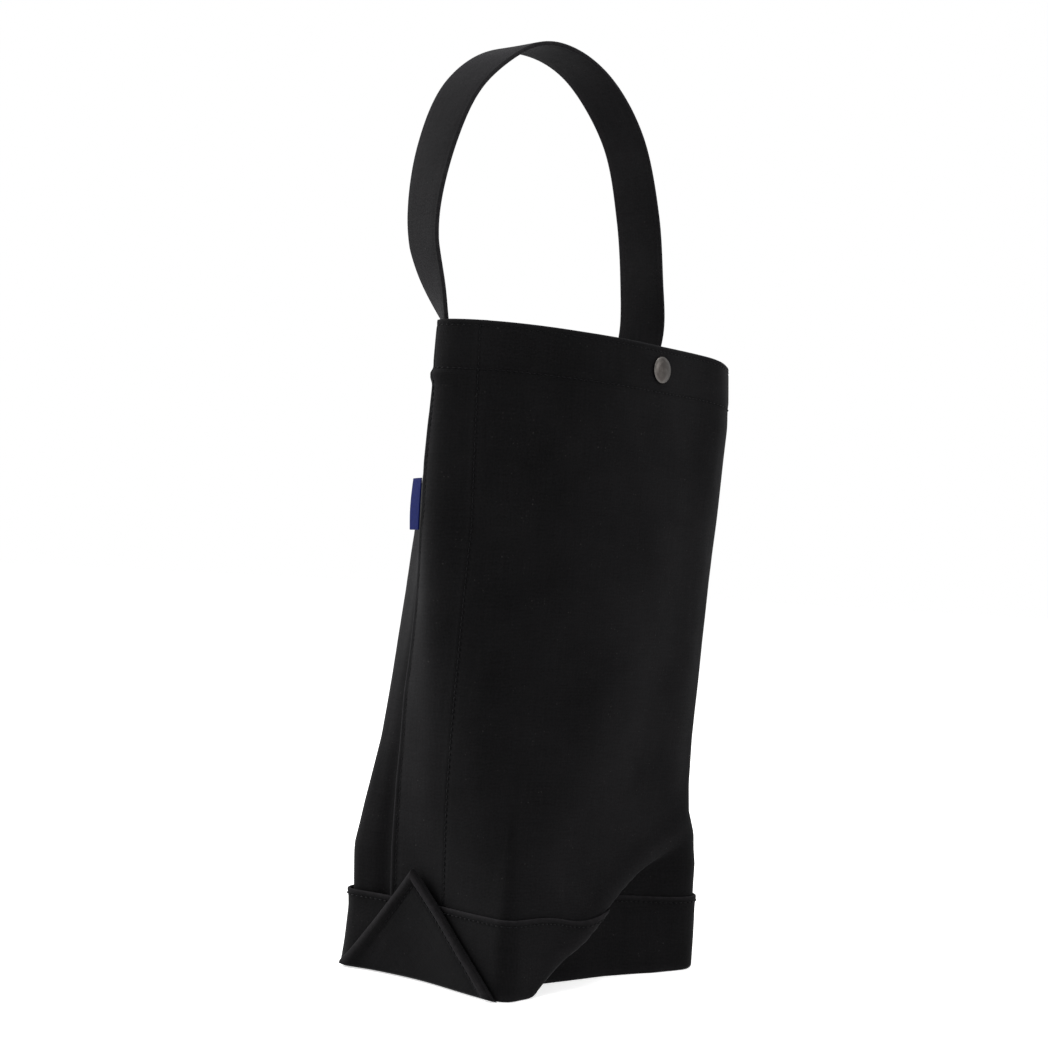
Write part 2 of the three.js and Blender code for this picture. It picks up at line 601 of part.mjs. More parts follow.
/** Ring spring that lies in the socket's groove. */
function socketSpring() {
  const wire = 0.35;
  const geometry = new THREE.TorusGeometry(GROOVE_RADIUS - wire - GAP, wire, 8, 28);
  geometry.rotateX(Math.PI / 2);
  const y = socketY + (SOCKET_FLOOR + SOCKET_DEPTH - 0.5) / 2;
  geometry.translate(snapX, y, snapHeight);
  return facingOut(geometry);
}

const frontCap = capProfile(SNAP_RADIUS, 2.4, frontPost);
part('snap_cap', turnedAt(snapX, frontFace, snapHeight, frontCap), METAL_LOOK);
part('snap_socket', turnedAt(snapX, socketY, snapHeight, socketProfile), STEEL_LOOK);
part('snap_spring', socketSpring(), STEEL_LOOK);
part('snap_stud', turnedAt(snapX, studY, snapHeight, studProfile), STEEL_LOOK);
const backCap = mirrored(capProfile(HALF_RADIUS, 1.4, backPost));
part('snap_back_cap', turnedAt(snapX, backFace, snapHeight, backCap), METAL_LOOK);

// ---- Rows of stitches ---------------------------------------------------------------------------
const EDGE_ROW = BODY_HEIGHT - STITCH_INSET;
const HEM_ROW = HEM_FOOT + STITCH_INSET;
const FLAP_MARGIN = 1; // a row stops this far from the edge of a mouth flap

/** Arc stations strictly between two places, with the places themselves at the ends. */
function between(arcs, low, high) {
  return [low, ...arcs.filter((s) => s > low && s < high), high];
}

/** Row over a mouth flap. */
function flapRow(arcs, middle, skin, z) {
  const reach = HALF_FLAP - FLAP_MARGIN;
  return levelRow(between(arcs, middle - reach, middle + reach).map((s) => [s, skin.outer]), z);
}

/** Row round one side, from the front flap over the lap's edge to the back flap. */
function sideRow(side, z) {
  const reach = HALF_FLAP + SLIT + FLAP_MARGIN;
  const lapEdge = side < 0 ? GIRTH - LAP : FLAT_WIDTH + LAP;
  const step = side < 0 ? -1 : 1;
  const front = side < 0
    ? between(frontArcs, -LAP, FRONT_MIDDLE - reach).reverse()
    : between(frontArcs, FRONT_MIDDLE + reach, FLAT_WIDTH + LAP);
  const back = side < 0
    ? between(backArcs, BACK_MIDDLE + reach, lapEdge - 4 * GAP).reverse()
    : between(backArcs, lapEdge + 4 * GAP, BACK_MIDDLE - reach);
  const over = front.slice(0, -1).map((s) => [s, FRONT_SKIN.outer]);
  const edge = [[lapEdge + step * 2 * GAP, FRONT_SKIN.outer]];
  return levelRow([...over, ...edge, ...back.map((s) => [s, BACK_SKIN.outer])], z);
}

for (const [label, z] of [['edge', EDGE_ROW], ['hem', HEM_ROW]]) {
  part(`front_${label}_stitches`, flapRow(frontArcs, FRONT_MIDDLE, FRONT_SKIN, z), THREAD_LOOK);
  part(`back_${label}_stitches`, flapRow(backArcs, BACK_MIDDLE, BACK_SKIN, z), THREAD_LOOK);
  part(`left_${label}_stitches`, sideRow(-1, z), THREAD_LOOK);
  part(`right_${label}_stitches`, sideRow(1, z), THREAD_LOOK);
}

const seamLow = BAND_HEIGHT + FLAP_MARGIN;
const seamHigh = HEM_FOOT - FLAP_MARGIN;
const seamRises = between(levels, seamLow, seamHigh);
for (const [name, line] of [['left', 0], ['right', FLAT_WIDTH]]) {
  const outwards = line === 0 ? -ROW : ROW;
  const backRow = uprightRow(line + outwards, seamRises, FRONT_SKIN.outer);
  const frontRow = uprightRow(line - outwards, seamRises, FRONT_SKIN.outer);
  part(`${name}_seam_back_stitches`, backRow, THREAD_LOOK);
  part(`${name}_seam_front_stitches`, frontRow, THREAD_LOOK);
}
const bandPath = ringArcs.map((s) => [s, BAND_SKIN.outer]);
part('base_band_stitches', levelRow(bandPath, BAND_HEIGHT - STITCH_INSET, true), THREAD_LOOK);

// ---- Origin -------------------------------------------------------------------------------------
const around = new THREE.Box3().setFromObject(group);
const centre = around.getCenter(new THREE.Vector3());
for (const mesh of group.children) mesh.geometry.translate(-centre.x, -centre.y, -around.min.z);

export default group;
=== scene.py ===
"""Canvas shoe bag: looks, studio and camera.

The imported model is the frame. Every soft piece is a surface worked out with numpy on two parameters: the arc
position round the bag and the height up it. Sizes are in millimetres until a mesh is made, and meshes are in metres.
"""

import logging
import math
from dataclasses import dataclass, field
from enum import Enum
from functools import partial

import bmesh
import bpy
import numpy as np
from mathutils import Matrix, Vector


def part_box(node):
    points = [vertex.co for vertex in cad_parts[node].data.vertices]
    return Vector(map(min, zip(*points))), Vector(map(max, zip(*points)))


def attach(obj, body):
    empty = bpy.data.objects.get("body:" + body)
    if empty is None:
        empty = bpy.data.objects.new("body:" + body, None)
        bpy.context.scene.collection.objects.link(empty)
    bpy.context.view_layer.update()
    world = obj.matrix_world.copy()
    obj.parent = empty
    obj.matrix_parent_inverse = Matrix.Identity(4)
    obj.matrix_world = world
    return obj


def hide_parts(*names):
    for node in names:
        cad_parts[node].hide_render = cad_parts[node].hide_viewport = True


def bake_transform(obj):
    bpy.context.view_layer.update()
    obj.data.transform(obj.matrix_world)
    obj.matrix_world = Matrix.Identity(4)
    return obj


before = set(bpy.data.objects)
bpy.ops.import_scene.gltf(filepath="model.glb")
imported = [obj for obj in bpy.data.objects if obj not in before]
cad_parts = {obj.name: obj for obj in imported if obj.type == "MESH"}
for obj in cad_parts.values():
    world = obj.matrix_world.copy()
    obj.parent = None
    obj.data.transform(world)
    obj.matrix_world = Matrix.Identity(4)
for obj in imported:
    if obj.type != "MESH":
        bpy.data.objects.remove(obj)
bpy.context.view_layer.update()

Array = np.ndarray
LOG = logging.getLogger("shoe_bag")
MM = 0.001
CLOTH_UV = "cloth"
# Vertex attribute of wear, which on the canvas also carries a painted highlight along the crease's crest.
WEAR_AND_HIGHLIGHT = "wear"
STITCH = 3.1
"""Length of one stitch with its gap, in millimetres."""
STITCH_DENT = 0.9
"""How far, in millimetres, the canvas dips to each side of a row of stitches."""


class Body(Enum):
    """Bodies that a piece can ride on."""

    BAG = "bag"
    FRONT_MOUTH = "front_mouth"
    BACK_MOUTH = "back_mouth"
    HANDLE = "handle"


class Side(Enum):
    """The two sides of the bag, as the sign of X."""

    LEFT = -1
    RIGHT = 1

    @property
    def label(self) -> str:
        """The side's word in the names of pieces and CAD nodes."""
        return self.name.lower()


# ---- Small numpy helpers ------------------------------------------------------------------------


def smooth(t: Array) -> Array:
    """Smoothstep: 0 below 0, 1 above 1, and 3t^2 - 2t^3 in between."""
    t = np.clip(t, 0.0, 1.0)
    return t * t * (3 - 2 * t)


def bell(x: Array, middle: float, width: float) -> Array:
    """Bell curve of height 1 at its middle."""
    return np.exp(-(((x - middle) / width) ** 2))


def unit(v: Array) -> Array:
    """Vectors scaled to length 1."""
    return v / np.maximum(np.linalg.norm(v, axis=-1, keepdims=True), 1e-9)


def quarter(t: Array) -> Array:
    """Quarter circle: 0 below 0, 1 above 1, and the root of 1 - (1 - t)^2 in between."""
    return np.sqrt(1 - (1 - np.clip(t, 0.0, 1.0)) ** 2)


def run_lengths(points: Array) -> Array:
    """Distance along a line of points, up to each of them."""
    return np.concatenate([[0.0], np.cumsum(np.linalg.norm(np.diff(points, axis=0), axis=1))])


def stitch_beat(along: Array) -> Array:
    """How deep a row's dent is along it: a cosine from 0.5 to 1 that repeats at each stitch."""
    return 0.75 + 0.25 * np.cos(2 * np.pi * along / STITCH)


def cloth_uv(across: Array, along: Array) -> Array:
    """Cloth coordinates in metres, one row for each vertex, from millimetres across and along the cloth."""
    return np.stack([across, along], axis=-1).reshape(-1, 2) * MM


def root_gap(a: Array, b: Array) -> Array:
    """Square root of the distance between points, row by row."""
    return np.sqrt(np.linalg.norm(b - a, axis=1))[:, None]


def stations(start: float, end: float, step: float, rims: float = 0.0, marks: tuple[float, ...] = ()) -> Array:
    """Places along a parameter, denser at its two rounded rims and round marked rows.

    Args:
        start: first place.
        end: last place.
        step: longest gap between places.
        rims: radius of the rounded rims, 0 for none.
        marks: rows of stitches, each of which gets places close round it.

    Returns:
        The sorted places.
    """
    even = np.linspace(start, end, max(2, int(math.ceil((end - start) / step)) + 1))
    near = rims * np.array([0.04, 0.14, 0.32, 0.6, 1.0]) if rims else np.array([])
    close = np.array([-1.3, -0.7, 0.0, 0.7, 1.3])
    rows = np.concatenate([m + close for m in marks]) if marks else np.array([])
    places = np.concatenate([even, start + near, end - near, rows])
    places = np.unique(np.round(places[(places >= start) & (places <= end)], 4))
    keep = np.concatenate([[True], np.diff(places) > 0.02])
    return places[keep]


def rim_share(places: Array, radius: float) -> Array:
    """Quarter-circle profile: 0 at both ends, 1 from one radius inwards."""
    edge = np.minimum(places - places[0], places[-1] - places)
    return quarter(edge / radius)


def catmull_rom(points: Array, closed: bool, steps: int) -> Array:
    """Centripetal Catmull-Rom curve: each span is the cubic whose end slopes come from the square roots of the
    distances between the four points round it.

    Args:
        points: control points, one row each.
        closed: whether the last point joins the first.
        steps: samples for each span.

    Returns:
        Samples of the curve, its last point included.
    """
    if closed:
        before, start, end, after = (np.roll(points, k, axis=0) for k in (1, 0, -1, -2))
    else:
        padded = np.vstack([2 * points[0] - points[1], points, 2 * points[-1] - points[-2]])
        before, start, end, after = padded[:-3], padded[1:-2], padded[2:-1], padded[3:]
    d0, d1, d2 = root_gap(before, start), root_gap(start, end), root_gap(end, after)
    out = ((start - before) / d0 - (end - before) / (d0 + d1) + (end - start) / d1) * d1
    inn = ((end - start) / d1 - (after - start) / (d1 + d2) + (after - end) / d2) * d1
    t = np.linspace(0, 1, steps, endpoint=False)[None, :, None]
    a, b, m, n = start[:, None], end[:, None], out[:, None], inn[:, None]
    curve = a + m * t + (3 * (b - a) - 2 * m - n) * t**2 + (2 * (a - b) + m + n) * t**3
    curve = curve.reshape(-1, points.shape[1])
    return np.vstack([curve, curve[:1] if closed else points[-1:]])


# ---- Form of the bag ----------------------------------------------------------------------------


@dataclass(frozen=True)
class Outline:
    """A closed outline, read by arc position."""

    raw: Array
    girth: float
    scale: float = 1.0

    def at(self, s: Array) -> Array:
        """Points at arc positions, the outline stretched evenly over the girth."""
        lengths = run_lengths(self.raw)
        place = (np.asarray(s, float) % self.girth) / self.girth * lengths[-1]
        x = np.interp(place, lengths, self.raw[:, 0])
        y = np.interp(place, lengths, self.raw[:, 1])
        return np.stack([x, y], axis=-1) * self.scale


@dataclass
class BagForm:
    """Sizes of the bag's body in millimetres, and the soft wall that every layer of canvas lies on.

    Arc position s is 0 at the left side line and runs along the front, the right side and the back.
    """

    width: float = 150.0
    depth: float = 117.0
    height: float = 337.0
    corner: float = 9.0
    dip: float = 4.0
    lap: float = 18.0
    hem: float = 28.0
    band: float = 40.0
    band_seam: float = 12.0
    base_outline: Outline = field(init=False)
    mouth_outline: Outline = field(init=False)
    origin: Array = field(init=False)

    def __post_init__(self) -> None:
        """Works out the two outlines and the place of the bag in the frame."""
        low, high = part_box("base_panel")
        self.origin = np.array([(low.x + high.x) / 2, (low.y + high.y) / 2, 0.0]) / MM
        self.base_outline = Outline(self._base(), self.girth)
        mouth = catmull_rom(self._mouth_points(), True, 20)
        length = np.linalg.norm(np.diff(mouth, axis=0), axis=1).sum()
        self.mouth_outline = Outline(mouth, self.girth, self.girth / length)

    @property
    def flat(self) -> float:
        """Width of the bag laid flat."""
        return self.width + self.depth

    @property
    def girth(self) -> float:
        """Length round the bag."""
        return 2 * self.flat

    def _base(self) -> Array:
        """Rounded rectangle: four straight sides joined by quarter circles, from the middle of the left side."""
        x, y, r = self.width / 2, self.depth / 2, self.corner
        turn = np.radians(np.linspace(0, 90, 13))
        centres = [(-x + r, -y + r, 180), (x - r, -y + r, 270), (x - r, y - r, 0), (-x + r, y - r, 90)]
        arcs = [
            np.stack([cx + r * np.cos(turn + math.radians(a)), cy + r * np.sin(turn + math.radians(a))], axis=1)
            for cx, cy, a in centres
        ]
        side = np.array([[-x, 0.0]])
        return np.vstack([side, *arcs, side])

    @staticmethod
    def _mouth_points() -> Array:
        """Points where the soft outline of the open mouth turns."""
        front = [[-93, 0], [-83, -25], [-66, -44], [-46, -58], [-20, -69], [12, -72], [44, -70.5], [70, -70]]
        right = [[87, -61], [96, -42], [98, -20], [97, -3], [93, 16], [84, 40], [62, 63]]
        back = [[36, 75.5], [12, 79], [-12, 75.5], [-36, 57], [-62, 31]]
        return np.array([*front, *right, *back], float)

    def mouth_share(self, z: Array) -> Array:
        """Share of the mouth outline at a height: 0 in the boxed base, easing out to 1 at the mouth."""
        box = self.depth / 2 + 6
        t = np.clip((z - box) / (self.height - box), 0, 1)
        return 1 - (1 - t) ** 1.6

    def section(self, s: Array, z: Array) -> Array:
        """Plan point of the smooth wall: the base outline eased into the mouth outline with height."""
        share = self.mouth_share(z)[..., None]
        return self.base_outline.at(s) * (1 - share) + self.mouth_outline.at(s) * share

    def smooth_wall(self, s: Array, z: Array, offset: Array | float = 0.0) -> Array:
        """Point of the smooth wall moved outwards by an offset, its mouth edge sagging as a squared sine.

        Args:
            s: arc positions.
            z: heights.
            offset: outward offset from the base band's outer face.

        Returns:
            Points, in millimetres, in the bag's own frame.
        """
        s, z, offset = np.broadcast_arrays(np.asarray(s, float), np.asarray(z, float), np.asarray(offset, float))
        along = self.section(s + 2, z) - self.section(s - 2, z)
        outward = unit(np.stack([along[..., 1], -along[..., 0]], axis=-1))
        plan = self.section(s, z) + outward * offset[..., None]
        near_mouth = np.clip((z - self.height + 124) / 124, 0, 1)
        height = z - self.dip * np.sin(np.pi * s / self.flat) ** 2 * near_mouth
        return np.concatenate([plan, height[..., None]], axis=-1)

    # The canvas' own give, on top of the smooth wall.

    def drift(self, s: Array, z: Array) -> Array:
        """How far the left seam wanders round the side: back low down, forward near the mouth."""
        s = (s + self.flat) % self.girth - self.flat
        behind = np.interp(z, [0, 40, 100, 146, 195, 240, 300], [-9, -10, -12, -11, -1, 12, 15])
        ahead = np.interp(z, [0, 64, 195, 231, 300], [-4, -4, 8, 11, 11])
        share = smooth((s + 22) / 44)
        return (behind * (1 - share) + ahead * share) * np.exp(-((s / 75) ** 4))

    @staticmethod
    def crease_height(s: Array) -> Array:
        """Height of the diagonal crease across the lower right of the front."""
        return np.interp(s, [70, 83, 101, 121, 141, 161, 179, 207, 225], [-4, 6, 19, 32, 44, 56, 64, 76, 82])

    def tuck(self, s: Array, z: Array) -> Array:
        """Share of the tuck below the crease: 0 on the crease, 1 from nine millimetres below it."""
        line = self.crease_height(s)
        fade = smooth((s - 62) / 14) * smooth((208 - s) / 34)
        return smooth((line - z) / 9) * fade

    def give(self, s: Array, z: Array) -> Array:
        """Outward movement of the soft canvas: the tuck, its crest, the sides' hollows and broad ripples."""
        s = (s + 60) % self.girth - 60
        line = self.crease_height(s)
        bottom = np.interp(s, [60, 74, 93.5, 107, 129, 150, 168, 180, 200], [0, 2.6, 12, 18, 14, 10.6, 5, 1, 0])
        top = np.interp(s, [60, 90, 107, 121, 141, 161, 179, 200], [0, 6, 13, 14, 13, 11, 7, 1])
        up = np.clip(z / np.maximum(line, 1), 0, 1)
        move = -self.tuck(s, z) * (bottom * (1 - up) + top * up)
        on_front = smooth((s - 84) / 26) * smooth((212 - s) / 34)
        move = move + 2.4 * bell(z - line, 4.5, 8) * on_front
        edge = np.interp(z, [0, 20, 57, 73, 85, 100, 125, 140, 180, 220, 260, 300, 337],
                         [5, 5.6, 5.8, 3.6, -0.4, -2, -3, -3, -2.3, -1.0, -0.7, 0, -1.3])
        move = move + edge * bell(s, 207, 20)
        low_left = np.interp(z, [0, 30, 60, 100], [-3.4, -2.6, -1.6, 0])
        move = move + low_left * bell(s, -2, 30)
        top_left = np.interp(z, [160, 230, 265, 290, 310, 337], [0, 1.6, 1.2, -0.4, -0.8, -2.4])
        hem_step = 1.6 * bell(z, self.height - self.hem, 2.6)
        move = move + (top_left + hem_step) * bell(s, -8, 22)
        back_left = np.interp(z, [0, 12, 30, 42, 60, 85, 120], [4.4, 3, 1.7, 2.4, 3.4, 2.6, 0.3])
        move = move + back_left * (bell(s, -58, 18) + bell(s, self.girth - 58, 18))
        rounded = 6.5 * bell(s, 58, 17) * smooth((z - 34) / 50) * smooth((300 - z) / 140)
        return move - rounded - self.hollows(s, z) + self.ripples(s, z)

    @staticmethod
    def hollows(s: Array, z: Array) -> Array:
        """Shallow slanting hollows where the empty canvas slackens: a bell along each and a bell across it."""
        places = [(40, 192, 9, 24, 1.7), (86, 148, 22, 20, 1.5), (152, 112, 26, 13, 1.3), (112, 252, 30, 17, 0.9),
                  (196, 205, 18, 30, 0.9), (330, 130, 40, 26, 1.6), (420, 220, 30, 34, 1.3)]
        return sum(deep * bell(s - 0.35 * (z - up), at, wide) * bell(z, up, tall)
                   for at, up, wide, tall, deep in places)

    def ripples(self, s: Array, z: Array) -> Array:
        """Broad ripples: sines of whole numbers of waves round the bag, crossed with slow sines up it."""
        turn = 2 * np.pi * s / self.girth
        waves = [(3, 0.9, 0.013, 0.7), (5, 2.3, 0.024, 0.5), (7, 4.1, 0.036, 0.28), (11, 1.2, 0.052, 0.13),
                 (17, 5.2, 0.071, 0.06)]
        total = np.zeros(np.broadcast(s, z).shape)
        for count, phase, rise, size in waves:
            total = total + size * np.sin(count * turn + phase + 0.8 * np.sin(rise * z + phase)) * np.cos(
                rise * z + 1.7 * phase)
        calm = 0.25 + 0.75 * smooth((self.height - z) / 40)
        return total * calm * smooth((z + 6) / 30)

    def lift(self, s: Array, z: Array) -> Array:
        """Upward movement of the canvas round the crease: it sinks before it and rises behind it."""
        s = (s + 60) % self.girth - 60
        behind = self.tuck(s, z) * 2.6 * bell(s, 150, 26) * np.clip(z / 40, 0, 1)
        before = (1 - self.tuck(s, z)) * 5.0 * bell(s, 114, 20) * bell(z, 38, 20)
        sag = 5.0 * bell(s, 213, 28) * smooth((z - self.height + 90) / 90)
        return behind - before - sag

    def wall(self, s: Array, z: Array, offset: Array | float = 0.0) -> Array:
        """Point of the soft wall: the smooth wall with the seam's drift, the canvas' give and its lift."""
        s, z, offset = np.broadcast_arrays(np.asarray(s, float), np.asarray(z, float), np.asarray(offset, float))
        moved = s + self.drift(s, z)
        points = self.smooth_wall(moved, z, offset + self.give(moved, z))
        points[..., 2] += self.lift(moved, z)
        return points

    def normal(self, s: Array, z: Array) -> Array:
        """Outward normal of the soft wall, from its slopes along both parameters."""
        across = self.wall(s + 0.7, z) - self.wall(s - 0.7, z)
        up = self.wall(s, z + 0.7) - self.wall(s, z - 0.7)
        return unit(np.cross(across, up))


# ---- Meshes -------------------------------------------------------------------------------------


def grid_quads(index: Array, flip: bool = False) -> Array:
    """Quads between neighbours in a table of vertex numbers, turned over if asked."""
    quads = np.stack([index[:-1, :-1], index[1:, :-1], index[1:, 1:], index[:-1, 1:]], axis=-1).reshape(-1, 4)
    return quads[:, ::-1] if flip else quads


def slab(outer: Array, inner: Array, ring: bool = False) -> tuple[Array, Array]:
    """Closed solid between two grids of points that meet at their borders.

    Args:
        outer: grid of outer points, across by up by 3.
        inner: the same for the inner face.
        ring: whether the first column joins the last.

    Returns:
        The vertices and the quads, facing outwards.
    """
    wide, tall = outer.shape[:2]
    out = np.arange(wide * tall).reshape(wide, tall)
    inn = out + wide * tall
    inn[:, 0], inn[:, -1] = out[:, 0], out[:, -1]
    if not ring:
        inn[0, :], inn[-1, :] = out[0, :], out[-1, :]
    if ring:
        out, inn = np.vstack([out, out[:1]]), np.vstack([inn, inn[:1]])
    faces = np.vstack([grid_quads(out), grid_quads(inn, True)])
    points = np.vstack([outer.reshape(-1, 3), inner.reshape(-1, 3)])
    return points, faces


def outwards(points: Array, faces: Array) -> Array:
    """Faces turned over if the solid they close has a negative volume."""
    a, b, c, d = (points[faces[:, k]] for k in range(4))
    volume = np.einsum("ij,ij->i", a, np.cross(b, c)) + np.einsum("ij,ij->i", a, np.cross(c, d))
    return faces if volume.sum() > 0 else faces[:, ::-1]


@dataclass
class Maker:
    """Turns grids in millimetres into finished pieces."""

    form: BagForm

    def piece(
        self, name: str, points: Array, faces: Array | list, uv: Array | None = None, wear: Array | None = None,
        weld: bool = False,
    ) -> bpy.types.Object:
        """Makes an object at the origin from points in the bag's own frame.

        Args:
            name: the piece's name.
            points: vertices in millimetres.
            faces: vertex numbers of each face.
            uv: cloth coordinates of each vertex in metres, for the weave.
            wear: how worn each vertex is, from 0 to 1; on the canvas it also holds a painted highlight along the
                crease's crest.
            weld: whether points that coincide are merged.

        Returns:
            The new object.
        """
        used, numbers = np.unique(np.concatenate([np.ravel(f) for f in faces]), return_inverse=True)
        places = ((points + self.form.origin) * MM)[used]
        sizes = np.array([len(f) for f in faces])
        ends = np.cumsum(sizes)
        mesh = bpy.data.meshes.new(name)
        mesh.vertices.add(len(places))
        mesh.vertices.foreach_set("co", places.astype(np.float32).ravel())
        mesh.loops.add(int(ends[-1]))
        mesh.loops.foreach_set("vertex_index", numbers.astype(np.int32))
        mesh.polygons.add(len(sizes))
        mesh.polygons.foreach_set("loop_start", (ends - sizes).astype(np.int32))
        mesh.update(calc_edges=True)
        if uv is not None:
            layer = mesh.uv_layers.new(name=CLOTH_UV)
            layer.data.foreach_set("uv", uv[used][numbers].astype(np.float32).ravel())
        rubbed_and_highlight = mesh.attributes.new(WEAR_AND_HIGHLIGHT, "FLOAT", "POINT")
        values = np.zeros(len(used)) if wear is None else wear[used]
        rubbed_and_highlight.data.foreach_set("value", values.astype(np.float32))
        mesh.polygons.foreach_set("use_smooth", np.ones(len(sizes), bool))
        if weld:
            self._weld(mesh)
        mesh.validate()
        made = bpy.data.objects.new(name, mesh)
        bpy.context.scene.collection.objects.link(made)
        return made

    @staticmethod
    def _weld(mesh: bpy.types.Mesh) -> None:
        """Merges coinciding vertices and drops the faces that this flattens."""
        work = bmesh.new()
        work.from_mesh(mesh)
        bmesh.ops.remove_doubles(work, verts=work.verts, dist=1e-6)
        bmesh.ops.dissolve_degenerate(work, edges=work.edges, dist=1e-7)
        work.to_mesh(mesh)
        work.free()


def finish_piece(
    made: bpy.types.Object, look: bpy.types.Material, replaced: tuple[str, ...], body: Body,
    towards: Body | None = None,
) -> bpy.types.Object:
    """Dresses a piece, hides the CAD nodes that it stands for, and ties it to the body that it moves with, or bakes
    it where it stands if it crosses a joint.

    Args:
        made: the piece.
        look: its material.
        replaced: the CAD nodes that it stands for.
        body: the body it rides on.
        towards: for canvas that crosses a joint, the body on the joint's far side; the piece is then baked where it
            stands.

    Returns:
        The piece.
    """
    made.data.materials.clear()
    made.data.materials.append(look)
    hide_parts(*replaced)
    if towards is None:
        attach(made, body.value)
    else:
        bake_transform(made)
    LOG.info("%s: %d faces", made.name, len(made.data.polygons))
    return made


# ---- Finishes -----------------------------------------------------------------------------------


class Graph:
    """Short way to write a material's nodes."""

    def __init__(self, name: str) -> None:
        """Starts a material with its surface shader."""
        self.material = bpy.data.materials.new(name)
        self.material.use_nodes = True
        self.tree = self.material.node_tree
        self.tree.nodes.clear()
        self.out = self.tree.nodes.new("ShaderNodeOutputMaterial")
        self.shader = self.tree.nodes.new("ShaderNodeBsdfPrincipled")
        self.tree.links.new(self.shader.outputs[0], self.out.inputs["Surface"])

    def node(self, kind: str, **values: object) -> bpy.types.Node:
        """Adds a node and sets its properties and inputs by name."""
        made = self.tree.nodes.new(kind)
        for key, value in values.items():
            if hasattr(made, key):
                setattr(made, key, value)
            else:
                self.put(made.inputs[key.replace("_", " ")], value)
        return made

    def put(self, socket: bpy.types.NodeSocket, value: object) -> None:
        """Links an output to a socket, or sets a number or colour on it."""
        if isinstance(value, bpy.types.NodeSocket):
            self.tree.links.new(value, socket)
        else:
            socket.default_value = value

    def math(self, operation: str, a: object, b: object = 0.0) -> bpy.types.NodeSocket:
        """One step of arithmetic."""
        made = self.node("ShaderNodeMath", operation=operation)
        self.put(made.inputs[0], a)
        self.put(made.inputs[1], b)
        return made.outputs[0]

    def cloth(self) -> tuple[bpy.types.NodeSocket, bpy.types.NodeSocket, bpy.types.NodeSocket]:
        """Cloth coordinates: both together, across, and along."""
        where = self.node("ShaderNodeUVMap", uv_map=CLOTH_UV).outputs[0]
        parts = self.node("ShaderNodeSeparateXYZ", Vector=where)
        return where, parts.outputs[0], parts.outputs[1]

    def place(self) -> bpy.types.NodeSocket:
        """Object coordinates, in metres."""
        return self.node("ShaderNodeTexCoord").outputs["Object"]

    def noise(self, where: bpy.types.NodeSocket, scale: float, detail: float = 2.0) -> bpy.types.NodeSocket:
        """Smooth noise from about 0 to 1."""
        return self.node("ShaderNodeTexNoise", Vector=where, Scale=scale, Detail=detail).outputs[0]

    def stretched(self, where: bpy.types.NodeSocket, x: float, y: float) -> bpy.types.NodeSocket:
        """Coordinates scaled unevenly, for streaks."""
        made = self.node("ShaderNodeMapping", Vector=where)
        made.inputs["Scale"].default_value = (x, y, 1.0)
        return made.outputs[0]

    def ramp(self, value: object, low: float, high: float, to_low: float, to_high: float) -> bpy.types.NodeSocket:
        """Maps one range of numbers to another, held at its ends."""
        made = self.node("ShaderNodeMapRange")
        for socket, number in zip(made.inputs, (value, low, high, to_low, to_high)):
            self.put(socket, number)
        return made.outputs[0]

    def mix(self, share: object, a: object, b: object) -> bpy.types.NodeSocket:
        """Mixes two colours."""
        made = self.node("ShaderNodeMix", data_type="RGBA")
        self.put(made.inputs[0], share)
        self.put(made.inputs[6], a)
        self.put(made.inputs[7], b)
        return made.outputs[2]

    def bump(self, height: object, strength: float, distance: float) -> bpy.types.NodeSocket:
        """Normal bumped by a height."""
        return self.node("ShaderNodeBump", Height=height, Strength=strength, Distance=distance).outputs[0]

    def surface(self, **values: object) -> bpy.types.Material:
        """Sets the shader's inputs and returns the material."""
        for key, value in values.items():
            self.put(self.shader.inputs[key.replace("_", " ")], value)
        return self.material


Colour = tuple[float, float, float, float]


